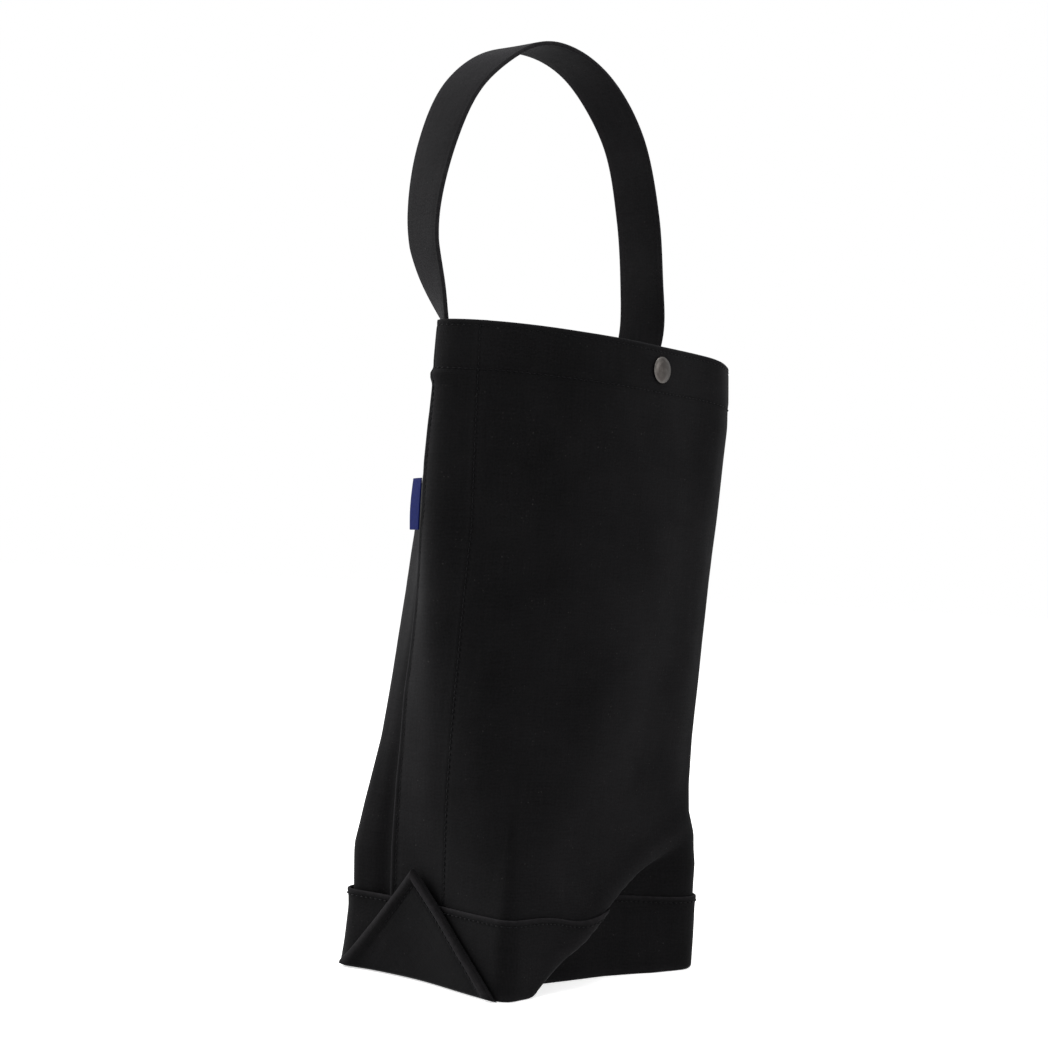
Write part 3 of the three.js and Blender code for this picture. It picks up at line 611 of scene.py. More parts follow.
@dataclass(frozen=True)
class CanvasFinish:
    """Plain-weave cotton canvas: two sets of threads, slubs, faint fading, folds worn by rubbing, painted shade in
    the weave's hollows and a painted highlight along the crease's crest.
    """

    name: str
    deep: Colour
    pale: Colour
    rubbed_and_highlight: Colour
    lint: Colour = (0.05, 0.048, 0.046, 1.0)
    pitch: float = 0.00068
    weave: float = 0.5
    sheen: float = 0.02
    gloss: float = 0.035

    def material(self) -> bpy.types.Material:
        """Weave height is each thread's squared sine, shown where a soft chequer puts that thread on top; it also
        lightens the tone, painted shade that darkens the weave's hollows.
        """
        g = Graph(self.name)
        where, across, along = g.cloth()
        wander = g.math("MULTIPLY", g.noise(where, 260.0), 0.9)
        u = g.math("ADD", g.math("MULTIPLY", across, math.pi / self.pitch), wander)
        v = g.math("ADD", g.math("MULTIPLY", along, math.pi / self.pitch), wander)
        sin_u, sin_v = g.math("SINE", u), g.math("SINE", v)
        chequer = g.math("MULTIPLY", g.math("COSINE", u), g.math("COSINE", v))
        over = g.math("MULTIPLY_ADD", chequer, 0.5)
        over.node.inputs[2].default_value = 0.5
        warp = g.math("MULTIPLY", g.math("MULTIPLY", sin_u, sin_u), over)
        weft = g.math("MULTIPLY", g.math("MULTIPLY", sin_v, sin_v), g.math("SUBTRACT", 1.0, over))
        height = g.math("ADD", warp, weft)
        slub_a = g.noise(g.stretched(where, 1500.0, 45.0), 1.0, 1.0)
        slub_b = g.noise(g.stretched(where, 45.0, 1500.0), 1.0, 1.0)
        slubs = g.math("ADD", slub_a, slub_b)
        cloud = g.noise(where, 24.0, 3.0)
        grain = g.noise(where, 900.0, 2.0)
        tone = g.math("ADD", g.math("MULTIPLY", slubs, 0.2), g.math("MULTIPLY", cloud, 0.4))
        # Painted shade: the weave's height lightens the threads on top and darkens the hollows between them.
        tone = g.math("ADD", tone, g.math("MULTIPLY", height, 0.3))
        tone = g.math("ADD", tone, g.math("MULTIPLY", grain, 0.45))
        colour = g.mix(g.ramp(tone, 0.52, 0.96, 0.0, 1.0), self.deep, self.pale)
        wear = g.node("ShaderNodeAttribute", attribute_name=WEAR_AND_HIGHLIGHT).outputs["Fac"]
        specks = g.math("MULTIPLY", g.ramp(g.noise(where, 800.0, 0.0), 0.74, 0.82, 0.0, 0.24),
                        g.ramp(g.noise(where, 95.0, 0.0), 0.56, 0.66, 0.0, 1.0))
        colour = g.mix(specks, colour, self.lint)
        # The wear attribute also carries a painted highlight along the crease's crest; this mix lightens it with the
        # same colour as the worn folds.
        patchy = g.math("MULTIPLY", wear, g.ramp(g.noise(where, 420.0, 3.0), 0.3, 0.7, 0.35, 1.0))
        colour = g.mix(patchy, colour, self.rubbed_and_highlight)
        fluff = g.noise(where, 55.0, 4.0)
        relief = g.math("ADD", g.math("MULTIPLY", height, self.weave), g.math("MULTIPLY", slubs, 0.25))
        fine = g.bump(relief, 0.55, 0.00016)
        soft = g.node("ShaderNodeBump", Height=fluff, Strength=0.4, Distance=0.0011, Normal=fine).outputs[0]
        return g.surface(
            Base_Color=colour, Roughness=g.ramp(tone, 0.4, 1.0, 0.9, 0.72), Normal=soft,
            Specular_IOR_Level=self.gloss, Sheen_Weight=self.sheen, Sheen_Roughness=0.45,
            Sheen_Tint=(0.86, 0.86, 0.92, 1.0),
        )


@dataclass(frozen=True)
class ThreadFinish:
    """Spun sewing thread: two plies that turn round each other."""

    name: str = "black_thread"
    colour: Colour = (0.0014, 0.0014, 0.0016, 1.0)
    light: Colour = (0.0052, 0.0052, 0.006, 1.0)

    def material(self) -> bpy.types.Material:
        """Ply height is a sine of the distance along the stitch plus the turn round it; it also lightens the colour
        on the plies' crests, a painted highlight, with fibre noise on top.
        """
        g = Graph(self.name)
        _, along, around = g.cloth()
        plies = g.math("MULTIPLY", along, 2 * math.pi / 0.0007)
        turn = g.math("ADD", plies, g.math("MULTIPLY", around, 2 * math.pi))
        ply = g.math("SINE", turn)
        fibre = g.noise(g.place(), 3000.0, 2.0)
        # Painted highlight and shade: the ply sine lightens the plies' crests and darkens the grooves between them.
        colour = g.mix(g.ramp(g.math("ADD", ply, fibre), -0.5, 1.6, 0.0, 1.0), self.colour, self.light)
        return g.surface(
            Base_Color=colour, Roughness=0.55, Normal=g.bump(ply, 0.5, 0.00008), Specular_IOR_Level=0.05,
            Sheen_Weight=0.01,
        )


@dataclass(frozen=True)
class MetalFinish:
    """Plated metal with fine scratches and a slightly worn, uneven polish."""

    name: str
    colour: Colour
    worn: Colour
    roughness: float

    def material(self) -> bpy.types.Material:
        """Scratches are noise stretched one way; wear is soft noise between two tones."""
        g = Graph(self.name)
        where = g.place()
        scratches = g.noise(g.stretched(where, 900.0, 9000.0), 1.0, 2.0)
        patches = g.noise(where, 420.0, 3.0)
        wear = g.node("ShaderNodeAttribute", attribute_name=WEAR_AND_HIGHLIGHT).outputs["Fac"]
        share = g.math("ADD", g.ramp(patches, 0.45, 0.75, 0.0, 0.5), g.math("MULTIPLY", wear, 0.7))
        colour = g.mix(g.math("MINIMUM", share, 1.0), self.colour, self.worn)
        rough = g.ramp(g.math("ADD", scratches, patches), 0.6, 1.4, self.roughness - 0.07, self.roughness + 0.12)
        return g.surface(
            Base_Color=colour, Metallic=1.0, Roughness=rough, Normal=g.bump(scratches, 0.12, 0.00005),
        )


@dataclass(frozen=True)
class RibbonFinish:
    """Woven ribbon: fine ribs across it, plain, with no lettering."""

    name: str = "navy_ribbon"
    deep: Colour = (0.0012, 0.003, 0.03, 1.0)
    pale: Colour = (0.0026, 0.008, 0.085, 1.0)

    def material(self) -> bpy.types.Material:
        """Rib height is a squared sine up the ribbon, broken by a finer sine across it; it also lightens the tone,
        painted shade in the grooves between the ribs.
        """
        g = Graph(self.name)
        where, across, along = g.cloth()
        rib = g.math("SINE", g.math("MULTIPLY", along, math.pi / 0.00042))
        yarn = g.math("SINE", g.math("MULTIPLY", across, math.pi / 0.00025))
        height = g.math("MULTIPLY_ADD", g.math("MULTIPLY", rib, rib), 0.7)
        g.put(height.node.inputs[2], g.math("MULTIPLY", g.math("MULTIPLY", yarn, yarn), 0.3))
        # Painted shade: the rib height lightens the ribs and darkens the grooves between them, with noise on top.
        tone = g.math("ADD", g.math("MULTIPLY", height, 0.6), g.math("MULTIPLY", g.noise(where, 700.0), 0.6))
        colour = g.mix(g.ramp(tone, 0.3, 1.0, 0.0, 1.0), self.deep, self.pale)
        return g.surface(
            Base_Color=colour, Roughness=0.6, Normal=g.bump(height, 0.5, 0.00008), Specular_IOR_Level=0.03,
            Sheen_Weight=0.0,
        )


@dataclass
class Finishes:
    """The bag's materials, each made once."""

    canvas: bpy.types.Material
    base_canvas: bpy.types.Material
    strap: bpy.types.Material
    thread: bpy.types.Material
    gunmetal: bpy.types.Material
    nickel: bpy.types.Material
    ribbon: bpy.types.Material

    @classmethod
    def make(cls) -> "Finishes":
        """Makes every finish."""
        deep, pale = (0.0011, 0.0011, 0.0012, 1.0), (0.0049, 0.0047, 0.0051, 1.0)
        return cls(
            canvas=CanvasFinish("black_canvas", deep, pale, (0.014, 0.0134, 0.0145, 1.0)).material(),
            base_canvas=CanvasFinish("black_base_canvas", deep, pale, (0.017, 0.0155, 0.017, 1.0)).material(),
            strap=CanvasFinish(
                "black_strap_canvas", (0.0013, 0.0012, 0.0014, 1.0), (0.0053, 0.005, 0.0055, 1.0),
                (0.018, 0.017, 0.0185, 1.0), weave=0.6, sheen=0.03,
            ).material(),
            thread=ThreadFinish().material(),
            gunmetal=MetalFinish("gunmetal_cap", (0.05, 0.045, 0.042, 1), (0.12, 0.112, 0.106, 1), 0.4).material(),
            nickel=MetalFinish("nickel_snap", (0.42, 0.41, 0.39, 1), (0.62, 0.61, 0.59, 1), 0.3).material(),
            ribbon=RibbonFinish().material(),
        )


# ---- Panels -------------------------------------------------------------------------------------


@dataclass
class Panel:
    """One canvas panel, wrapped round the bag between two arc positions, with a hem at the mouth."""

    maker: Maker
    name: str
    replaced: tuple[str, ...]
    towards: Body
    start: float
    end: float
    outer: float
    seam_rows: tuple[float, ...]
    hem_from: float
    hem_to: float
    canvas: float = 1.2
    rim: float = 1.3
    step: float = 2.6

    def build(self, look: bpy.types.Material) -> bpy.types.Object:
        """The panel is a slab on the soft wall. Its outer face dips at each row of stitches, puffs between the
        rows, and swells over the hem; both faces close in a quarter circle at every folded edge.

        Args:
            look: the canvas.

        Returns:
            The finished panel.
        """
        form = self.maker.form
        foot = form.band - form.band_seam
        edge_row, hem_row = form.height - 3, form.height - form.hem + 3
        across = stations(self.start, self.end, self.step, self.rim, self.seam_rows)
        marks = (edge_row, hem_row, form.height - form.hem, form.band + 3)
        up = stations(foot, form.height, self.step, self.rim, marks)
        s, z = np.meshgrid(across, up, indexing="ij")
        round_off = np.minimum(rim_share(across, self.rim)[:, None], rim_share(up, self.rim)[None, :])
        hemmed = smooth((z - form.height + form.hem) / 1.2) * (s > self.hem_from) * (s < self.hem_to)
        inner = self.outer - self.canvas * (1 + hemmed)
        dent = self._rows(s, z, edge_row, hem_row)
        swell = 0.35 * bell(z, form.height - form.hem, 2.2)
        below = smooth((hem_row - z) / 30)
        lifted = 0.9 * smooth(1 - (s - self.start) / 5) * below if self.seam_rows else 0
        sunk = 0 if self.seam_rows else 2.2 * bell(s, self.end - 41, 6) * below
        face = self.outer - dent + 0.25 * smooth((z - hem_row - 1) / 3) - 0.3 * swell
        middle, half = (face + inner) / 2, (face - inner) / 2
        under_band = 1.1 * smooth((form.band - 3 - z) / 5)
        middle = middle + lifted - sunk - under_band
        outside = form.wall(s, z, middle + half * round_off)
        inside = form.wall(s, z, middle - half * round_off)
        points, faces = slab(outside, inside)
        uv = cloth_uv(s, z)
        wear = self._wear_and_highlight(s, z).ravel()
        made = self.maker.piece(self.name, points, faces, np.vstack([uv, uv + 0.011]), np.tile(wear, 2))
        finish_piece(made, look, self.replaced, Body.BAG, self.towards)
        return made

    def _rows(self, s: Array, z: Array, edge_row: float, hem_row: float) -> Array:
        """Depth of the dents under the rows of stitches, a little deeper at each stitch."""
        dent = 0.34 * bell(z, edge_row, STITCH_DENT) * stitch_beat(s)
        dent = dent + 0.3 * bell(z, hem_row, STITCH_DENT) * stitch_beat(s)
        for row in self.seam_rows:
            dent = dent + 0.34 * bell(s, row, STITCH_DENT) * stitch_beat(z)
        return dent

    def _wear_and_highlight(self, s: Array, z: Array) -> Array:
        """Rubbing, strongest on the folded edges, a faint painted highlight along the crease's crest, and lighter
        ridges beside each row of stitches.
        """
        form = self.maker.form
        edge = np.minimum(np.minimum(s - self.start, self.end - s), form.height - z)
        on_edge = 0.5 * np.exp(-np.clip(edge, 0, None) / 0.8)
        moved = s + form.drift(s, z)
        # Painted highlight: lighter along the crest above the crease.
        crest = 0.16 * bell(z - form.crease_height(moved), 4, 5)
        crest = crest * smooth((moved - 90) / 20) * smooth((225 - moved) / 20)
        ridge = 0.12 * sum(bell(s, row + 2.2, 0.9) + bell(s, row - 2.2, 0.9) for row in self.seam_rows)
        return np.clip(on_edge + crest + ridge, 0, 1)


@dataclass
class Panels:
    """Front and back panels."""

    maker: Maker

    def build(self, finishes: Finishes) -> list[bpy.types.Object]:
        """Builds both panels; the front one laps over the back one at each side."""
        form = self.maker.form
        row = form.lap - 3
        front = Panel(
            self.maker, "front_panel_canvas", ("front_panel", "front_mouth_panel"), Body.FRONT_MOUTH,
            -form.lap, form.flat + form.lap, -1.5, (-row, row, form.flat - row, form.flat + row),
            form.lap + 1, form.flat - form.lap - 1,
        )
        back = Panel(
            self.maker, "back_panel_canvas", ("back_panel", "back_mouth_panel"), Body.BACK_MOUTH,
            form.flat - form.lap, form.girth + form.lap, -3.0, (), form.flat - form.lap - 1,
            form.girth + form.lap + 1,
        )
        return [front.build(finishes.canvas), back.build(finishes.canvas)]


# ---- Base ---------------------------------------------------------------------------------------


@dataclass
class Base:
    """The tray of canvas round the bag's foot, and the two corners folded up against its sides."""

    maker: Maker
    canvas: float = 1.2
    foot_round: float = 2.4
    flap_reach: float = 57.0
    flap_lean: float = 9.0
    flap_rim: float = 5.3

    def build(self, finishes: Finishes) -> list[bpy.types.Object]:
        """Builds the tray and both folded corners."""
        made = [self._tray(finishes.base_canvas)]
        return made + [self._corner(side, finishes.base_canvas) for side in Side]

    def _tray(self, look: bpy.types.Material) -> bpy.types.Object:
        """The tray's profile runs from the middle of the bottom out to the edge, up a quarter circle, and up the
        wall to the band's folded top edge, which stands proud; the profile is carried round the bag.

        Args:
            look: the canvas.

        Returns:
            The finished tray.
        """
        form, r = self.maker.form, self.foot_round
        around = np.arange(0, form.girth, form.girth / 220)
        rings, turns = 22, 7
        turn = np.radians(np.linspace(12, 90, turns))
        rise = stations(r + 1, form.band, 2.4, 1.0, (form.band - 3,))
        rise = rise[rise > r + 0.9]
        profile_z = np.concatenate([np.zeros(rings), r * (1 - np.cos(turn)), rise])
        profile_in = np.concatenate([np.full(rings, r), r * (1 - np.sin(turn)), np.zeros(len(rise))])
        share = np.concatenate([np.linspace(0, 1, rings) ** 0.7, np.ones(turns + len(rise))])
        length = np.concatenate([[0.0], np.cumsum(np.hypot(np.diff(profile_z), np.diff(share * 55)))])
        s, z = np.meshgrid(around, profile_z, indexing="ij")
        inwards = np.broadcast_to(profile_in, s.shape)
        near_top = smooth((z - form.band + 5) / 2.5)
        dent = 0.4 * bell(z, form.band - 3, STITCH_DENT) * stitch_beat(s)
        face = -inwards + 0.45 * near_top - dent
        round_off = quarter(form.band - z)
        thick = self.canvas + 0.45 * near_top
        outside = self._to_middle(form.wall(s, z, face - thick / 2 + thick / 2 * round_off), share)
        inside = form.wall(s, np.maximum(z, self.canvas), face - thick / 2 - thick / 2 * round_off)
        inside = self._to_middle(inside, share)
        outside[..., 2] = np.maximum(outside[..., 2], 0)
        outside[:, :rings, 2] = 0
        inside[:, :rings, 2] = self.canvas
        points, faces = self._open_slab(outside, inside)
        uv = cloth_uv(s, np.broadcast_to(length, s.shape))
        moved = s + form.drift(s, z)
        # Painted highlight: lighter along the crest above the crease.
        crest = 0.25 * bell(z - form.crease_height(moved), 3, 5)
        crest = crest * smooth((moved - 84) / 16) * smooth((225 - moved) / 30)
        wear = 0.75 * np.exp(-np.clip(form.band - z, 0, None) / 0.9) + 0.2 * bell(z, 1.5, 2.5) + crest
        wear = np.tile(np.clip(wear, 0, 1).ravel(), 2)
        made = self.maker.piece("base_tray", points, faces, np.vstack([uv, uv + 0.013]), wear, weld=True)
        finish_piece(made, look, ("base_panel",), Body.BAG)
        return made

    @staticmethod
    def _to_middle(points: Array, share: Array) -> Array:
        """Draws each point in towards the middle of the bottom, at its own height."""
        return points * np.stack([share, share, np.ones_like(share)], axis=-1)[None]

    @staticmethod
    def _open_slab(outside: Array, inside: Array) -> tuple[Array, Array]:
        """Ring of two skins that meet at the band's top edge and close to a point each at the middle."""
        wide, tall = outside.shape[:2]
        out = np.arange(wide * tall).reshape(wide, tall)
        inn = out + wide * tall
        inn[:, -1] = out[:, -1]
        out, inn = np.vstack([out, out[:1]]), np.vstack([inn, inn[:1]])
        faces = np.vstack([grid_quads(out), grid_quads(inn, True)])
        return np.vstack([outside.reshape(-1, 3), inside.reshape(-1, 3)]), faces

    def flap_half(self, up: Array) -> Array:
        """Half width of a folded corner: a straight slope up to the tip, blunted at the floor as a hyperbola."""
        return (self.maker.form.depth / 2 - 1) * (1 - np.hypot(up, 0.055 * (1 - up)))

    def flap_point(self, side: Side, across: Array, up: Array, offset: Array) -> Array:
        """Point of a folded corner: a triangle whose tip leans, on the wall, moved outwards by an offset.

        Args:
            side: which side of the bag.
            across: -1 to 1 from the front edge to the back edge.
            up: 0 at the floor to 1 at the tip.
            offset: outward offset from the band.

        Returns:
            Points in millimetres.
        """
        form = self.maker.form
        y = across * self.flap_half(up) + self.flap_lean * up
        z = self.flap_reach * up + 0.6 * (1 - up) * (1 - across**8)
        s = -y if side is Side.LEFT else form.flat + y
        turned_in = self.foot_round * (1 - np.sqrt(1 - np.clip(1 - z / self.foot_round, 0, 1) ** 2))
        return form.smooth_wall(s, z, offset + form.give(s, z) - turned_in)

    def _corner(self, side: Side, look: bpy.types.Material) -> bpy.types.Object:
        """A folded corner is a pillow on a triangle: flat inside, with a round raised fold along both slanted
        edges, whose height is a half sine of the distance from the edge.

        Args:
            side: which side of the bag.
            look: the canvas.

        Returns:
            The finished corner.
        """
        half = self.maker.form.depth / 2
        t = np.concatenate([[0, 0.004, 0.012, 0.025, 0.045], np.linspace(0.07, 0.93, 40),
                            [0.955, 0.975, 0.988, 0.996, 1]])
        across, up = np.meshgrid(2 * t - 1, np.linspace(0, 1, 56) ** 0.9, indexing="ij")
        slope = math.hypot(half, self.flap_reach)
        to_edge = (1 - np.abs(across)) * self.flap_half(up) * self.flap_reach / slope
        rim = self.flap_rim * (1 + 0.4 * (across > 0) * (1 - up))
        fold = np.sin(np.pi * np.clip(to_edge / rim, 0, 1)) ** 0.6
        body = quarter(to_edge / 1.3)
        crown = 0.7 * np.sin(np.pi * up) * (1 - across**2)
        dent = 0.35 * bell(to_edge, 6.4, STITCH_DENT)
        foot = quarter(up * self.flap_reach / 1.2)
        near, far = 0.9, 3.1 + crown
        middle = (near + far) / 2
        outer = middle + ((far - near) / 2 + 1.9 * fold - dent) * body * foot
        inner = middle - (far - near) / 2 * body * foot
        points, faces = slab(self.flap_point(side, across, up, outer), self.flap_point(side, across, up, inner))
        if side is Side.LEFT:
            faces = faces[:, ::-1]
        y, z = across * half * (1 - up), self.flap_reach * up
        uv = cloth_uv((y + z) * 0.707, (z - y) * 0.707)
        wear = np.clip(0.5 * bell(to_edge, 2.3, 1.6), 0, 1)
        wear = np.concatenate([wear.ravel(), np.zeros(wear.size)])
        name = f"{side.label}_corner_fold"
        made = self.maker.piece(name, points, faces, np.vstack([uv, uv]), wear, weld=True)
        finish_piece(made, look, (f"{side.label}_corner_flap",), Body.BAG)
        return made


# ---- Handle -------------------------------------------------------------------------------------


@dataclass
class Handle:
    """One flat strap: sewn inside the back panel at each side, turning square to the bag as it rises."""

    maker: Maker
    width: float = 30.0
    thickness: float = 2.4
    setback: float = 4.0
    inside: float = -7.5
    tail: float = 28.0
    rise: float = 163.6
    twist: float = 50.0
    shoulder_twist: float = -0.17
    twist_foot: float = 340.0
    turned: float = 0.76
    splay: tuple[float, float] = (4.4, -2.5)
    bend_top: float = 353.0

    def build(self, finishes: Finishes) -> list[bpy.types.Object]:
        """The strap is a flattened oval carried along its path: both faces are a little crowned, both edges round.

        Args:
            finishes: the bag's materials.

        Returns:
            The finished strap.
        """
        left, right = self._leg(Side.LEFT), self._leg(Side.RIGHT)
        middle, across = self._arch(left, right)
        u = np.concatenate([[-1, -0.985, -0.955, -0.91, -0.85], np.linspace(-0.78, 0.78, 15),
                            [0.85, 0.91, 0.955, 0.985, 1]])
        arch = middle[:, None] + across[:, None] * (u[None, :, None] * self.width / 2)
        left_grid = self._on_wall(Side.LEFT, u, left)
        right_grid = self._on_wall(Side.RIGHT, u, right)[::-1]
        grid = self._eased(np.concatenate([left_grid, arch, right_grid]))
        along = unit(np.gradient(grid, axis=0))
        over = unit(np.gradient(grid, axis=1))
        through = unit(np.cross(over, along))
        edge = 1 - np.abs(u)
        round_off = quarter(edge / 0.085)
        crown = 1 + 0.16 * (1 - u**2) - 0.12 * bell(np.abs(u), 0.87, 0.05)
        ends = np.ones(len(grid))
        ends[[0, -1]], ends[[1, -2]] = 0, 0.8
        half = self.thickness / 2 * round_off * crown * ends[:, None]
        length = run_lengths(grid[:, len(u) // 2])
        wave = 0.35 * np.sin(length / 31 + 0.6)[:, None] * (1 - u**2) + 0.18 * np.sin(length / 11)[:, None] * u
        base = grid + through * wave[..., None]
        points, faces = slab(base + through * half[..., None], base - through * half[..., None])
        uv = cloth_uv(*np.broadcast_arrays(u[None] * self.width / 2, length[:, None]))
        wear = 0.75 * np.exp(-edge / 0.05)[None] + np.zeros((len(grid), 1))
        wear = np.tile(wear.ravel(), 2)
        faces = outwards(points, faces)
        made = self.maker.piece("handle_strap_canvas", points, faces, np.vstack([uv, uv]), wear)
        ends_named = [f"{side.label}_handle_{part}" for side in Side for part in ("end", "bend")]
        finish_piece(made, finishes.strap, ("handle_strap", *ends_named), Body.BAG, Body.HANDLE)
        return [made]

    def _eased(self, grid: Array) -> Array:
        """The strap's grid, averaged along its length round the two places where its bends meet its arch."""
        z = grid[..., 2:]
        share = smooth((24 - np.abs(z - self.bend_top)) / 10) * (z > self.maker.form.height + 1)
        for _ in range(48):
            even = grid.copy()
            even[1:-1] = (grid[:-2] + 2 * grid[1:-1] + grid[2:]) / 4
            grid = grid + (even - grid) * share
        return grid

    def edges(self, side: Side) -> tuple[float, float]:
        """Arc positions of the strap's near and far edges."""
        form = self.maker.form
        if side is Side.LEFT:
            return form.girth - self.setback, form.girth - self.setback - self.width
        return form.flat + self.setback, form.flat + self.setback + self.width

    def _leg(self, side: Side) -> tuple[Array, float]:
        """Middle of the strap where its bend ends, and how far it leans there from square to the bag."""
        form = self.maker.form
        near, far = (form.smooth_wall(np.array(e), np.array(self.bend_top), self.inside) for e in self.edges(side))
        middle = (near + far) / 2 + side.value * np.array([*self.splay, 0.0])
        middle[2] = self.bend_top
        lean = math.atan2(far[0] - near[0], far[1] - near[1]) * self.turned
        return middle, lean

    def _across(self, lean: Array | float, z: Array | float) -> Array:
        """Level direction across the strap, its lean fading as the exponential of the height."""
        turn = np.asarray(lean * np.exp(-(np.asarray(z, float) - self.twist_foot) / self.twist))
        return np.stack([np.sin(turn), np.cos(turn), np.zeros_like(turn)], axis=-1)

    def _on_wall(self, side: Side, u: Array, leg: tuple[Array, float]) -> Array:
        """Grid of the strap's middle layer from its sewn end up to where it leaves the wall: it lies on the
        wall's inside and eases into a straight line across.

        Args:
            side: which side of the bag.
            u: places across the strap, -1 at the near edge.
            leg: what _leg gives.

        Returns:
            Points, along by across by 3.
        """
        form = self.maker.form
        near, far = self.edges(side)
        rises = np.concatenate([form.height - self.tail + np.array([0, 0.25, 0.8, 1.6]), np.linspace(312, 351.5, 18)])
        s = (near + far) / 2 + (far - near) / 2 * u
        z, s = np.meshgrid(rises, s, indexing="ij")
        lying = form.smooth_wall(s, z, self.inside + form.give(s % form.girth, z) * smooth((345 - z) / 12))
        lying[..., 2] = z
        middle, lean = leg
        straight = middle + self._across(lean, z) * (u[None, :, None] * self.width / 2)
        straight[..., 2] = z
        ease = smooth((z - form.height - 1.5) / 13.5)[..., None]
        return lying * (1 - ease) + straight * ease

    def _arch(self, left: tuple[Array, float], right: tuple[Array, float]) -> tuple[Array, Array]:
        """Path of the free arch and the direction across the strap, which starts along the wall at each leg and
        turns square to the bag as the exponential of the height above it.

        Args:
            left: what _leg gives for the left side.
            right: the same for the right side.

        Returns:
            Middle points and unit directions across.
        """
        height = self.maker.form.height
        centre = (left[0] + right[0]) / 2
        span = (right[0][0] - left[0][0]) / 2
        turns = np.array([[-1.08, 0.17], [-1.14, 0.32], [-1.06, 0.57], [-0.85, 0.79], [-0.43, 0.958],
                          [-0.05, 0.992], [0.32, 0.94], [0.69, 0.77], [0.89, 0.51], [0.98, 0.23]])
        leaning = centre[1] + 1 - 2.4 * turns[:, 0]
        path = np.stack([centre[0] + turns[:, 0] * span, leaning, height + turns[:, 1] * (self.rise - 1.2)], axis=1)
        curve = catmull_rom(np.vstack([left[0], path, right[0]]), False, 30)
        lengths = run_lengths(curve)
        even = np.linspace(0, lengths[-1], 170)
        middle = np.stack([np.interp(even, lengths, curve[:, k]) for k in range(3)], axis=1)
        along = unit(np.gradient(middle, axis=0))
        along[0], along[-1] = (0, 0, 1), (0, 0, -1)
        across = self._across(np.where(even < lengths[-1] / 2, left[1], right[1]), middle[:, 2])
        extra = self.shoulder_twist * bell(even / lengths[-1], 0.36, 0.12)
        across[:, 0] += np.tan(extra)
        across = unit(across - along * np.einsum("ij,ij->i", across, along)[:, None])
        return middle, across


# ---- Tag and snap -------------------------------------------------------------------------------


@dataclass
class SideTag:
    """Woven ribbon that stands out of the left seam."""

    maker: Maker
    reach: float = 10.0
    height: float = 27.0
    foot: float = 230.0
    thickness: float = 0.8

    def build(self, finishes: Finishes) -> list[bpy.types.Object]:
        """The ribbon is a folded loop: a slab that leaves the wall at a slope and bows slightly, thicker at its
        outer fold.

        Args:
            finishes: the bag's materials.

        Returns:
            The finished tag.
        """
        form = self.maker.form
        out = stations(0, 1, 0.08, 0.05)
        up = stations(0, self.height, 1.5, 0.6)
        t, h = np.meshgrid(out, up, indexing="ij")
        round_off = np.minimum(rim_share(out, 0.05)[:, None], rim_share(up, 0.6)[None])
        s = -form.lap - 0.6 - self.reach * t
        z = self.foot + h
        bow = 0.5 * np.sin(np.pi * h / self.height) * t
        lean = -2.4 + 0.46 * self.reach * t + bow
        half = self.thickness / 2 * (1 + 0.25 * bell(t, 0.95, 0.08)) * round_off
        drift = form.drift(s, z)
        slack = form.give(s + drift, z)
        outer, inner = (form.smooth_wall(s, z, lean + 0.4 + side + slack) for side in (half, -half))
        points, faces = slab(outer, inner)
        faces = outwards(points, faces)
        uv = cloth_uv(self.reach * t, h)
        made = self.maker.piece("woven_side_tag", points, faces, np.vstack([uv, uv]))
        finish_piece(made, finishes.ribbon, ("side_tag",), Body.BAG)
        return [made]


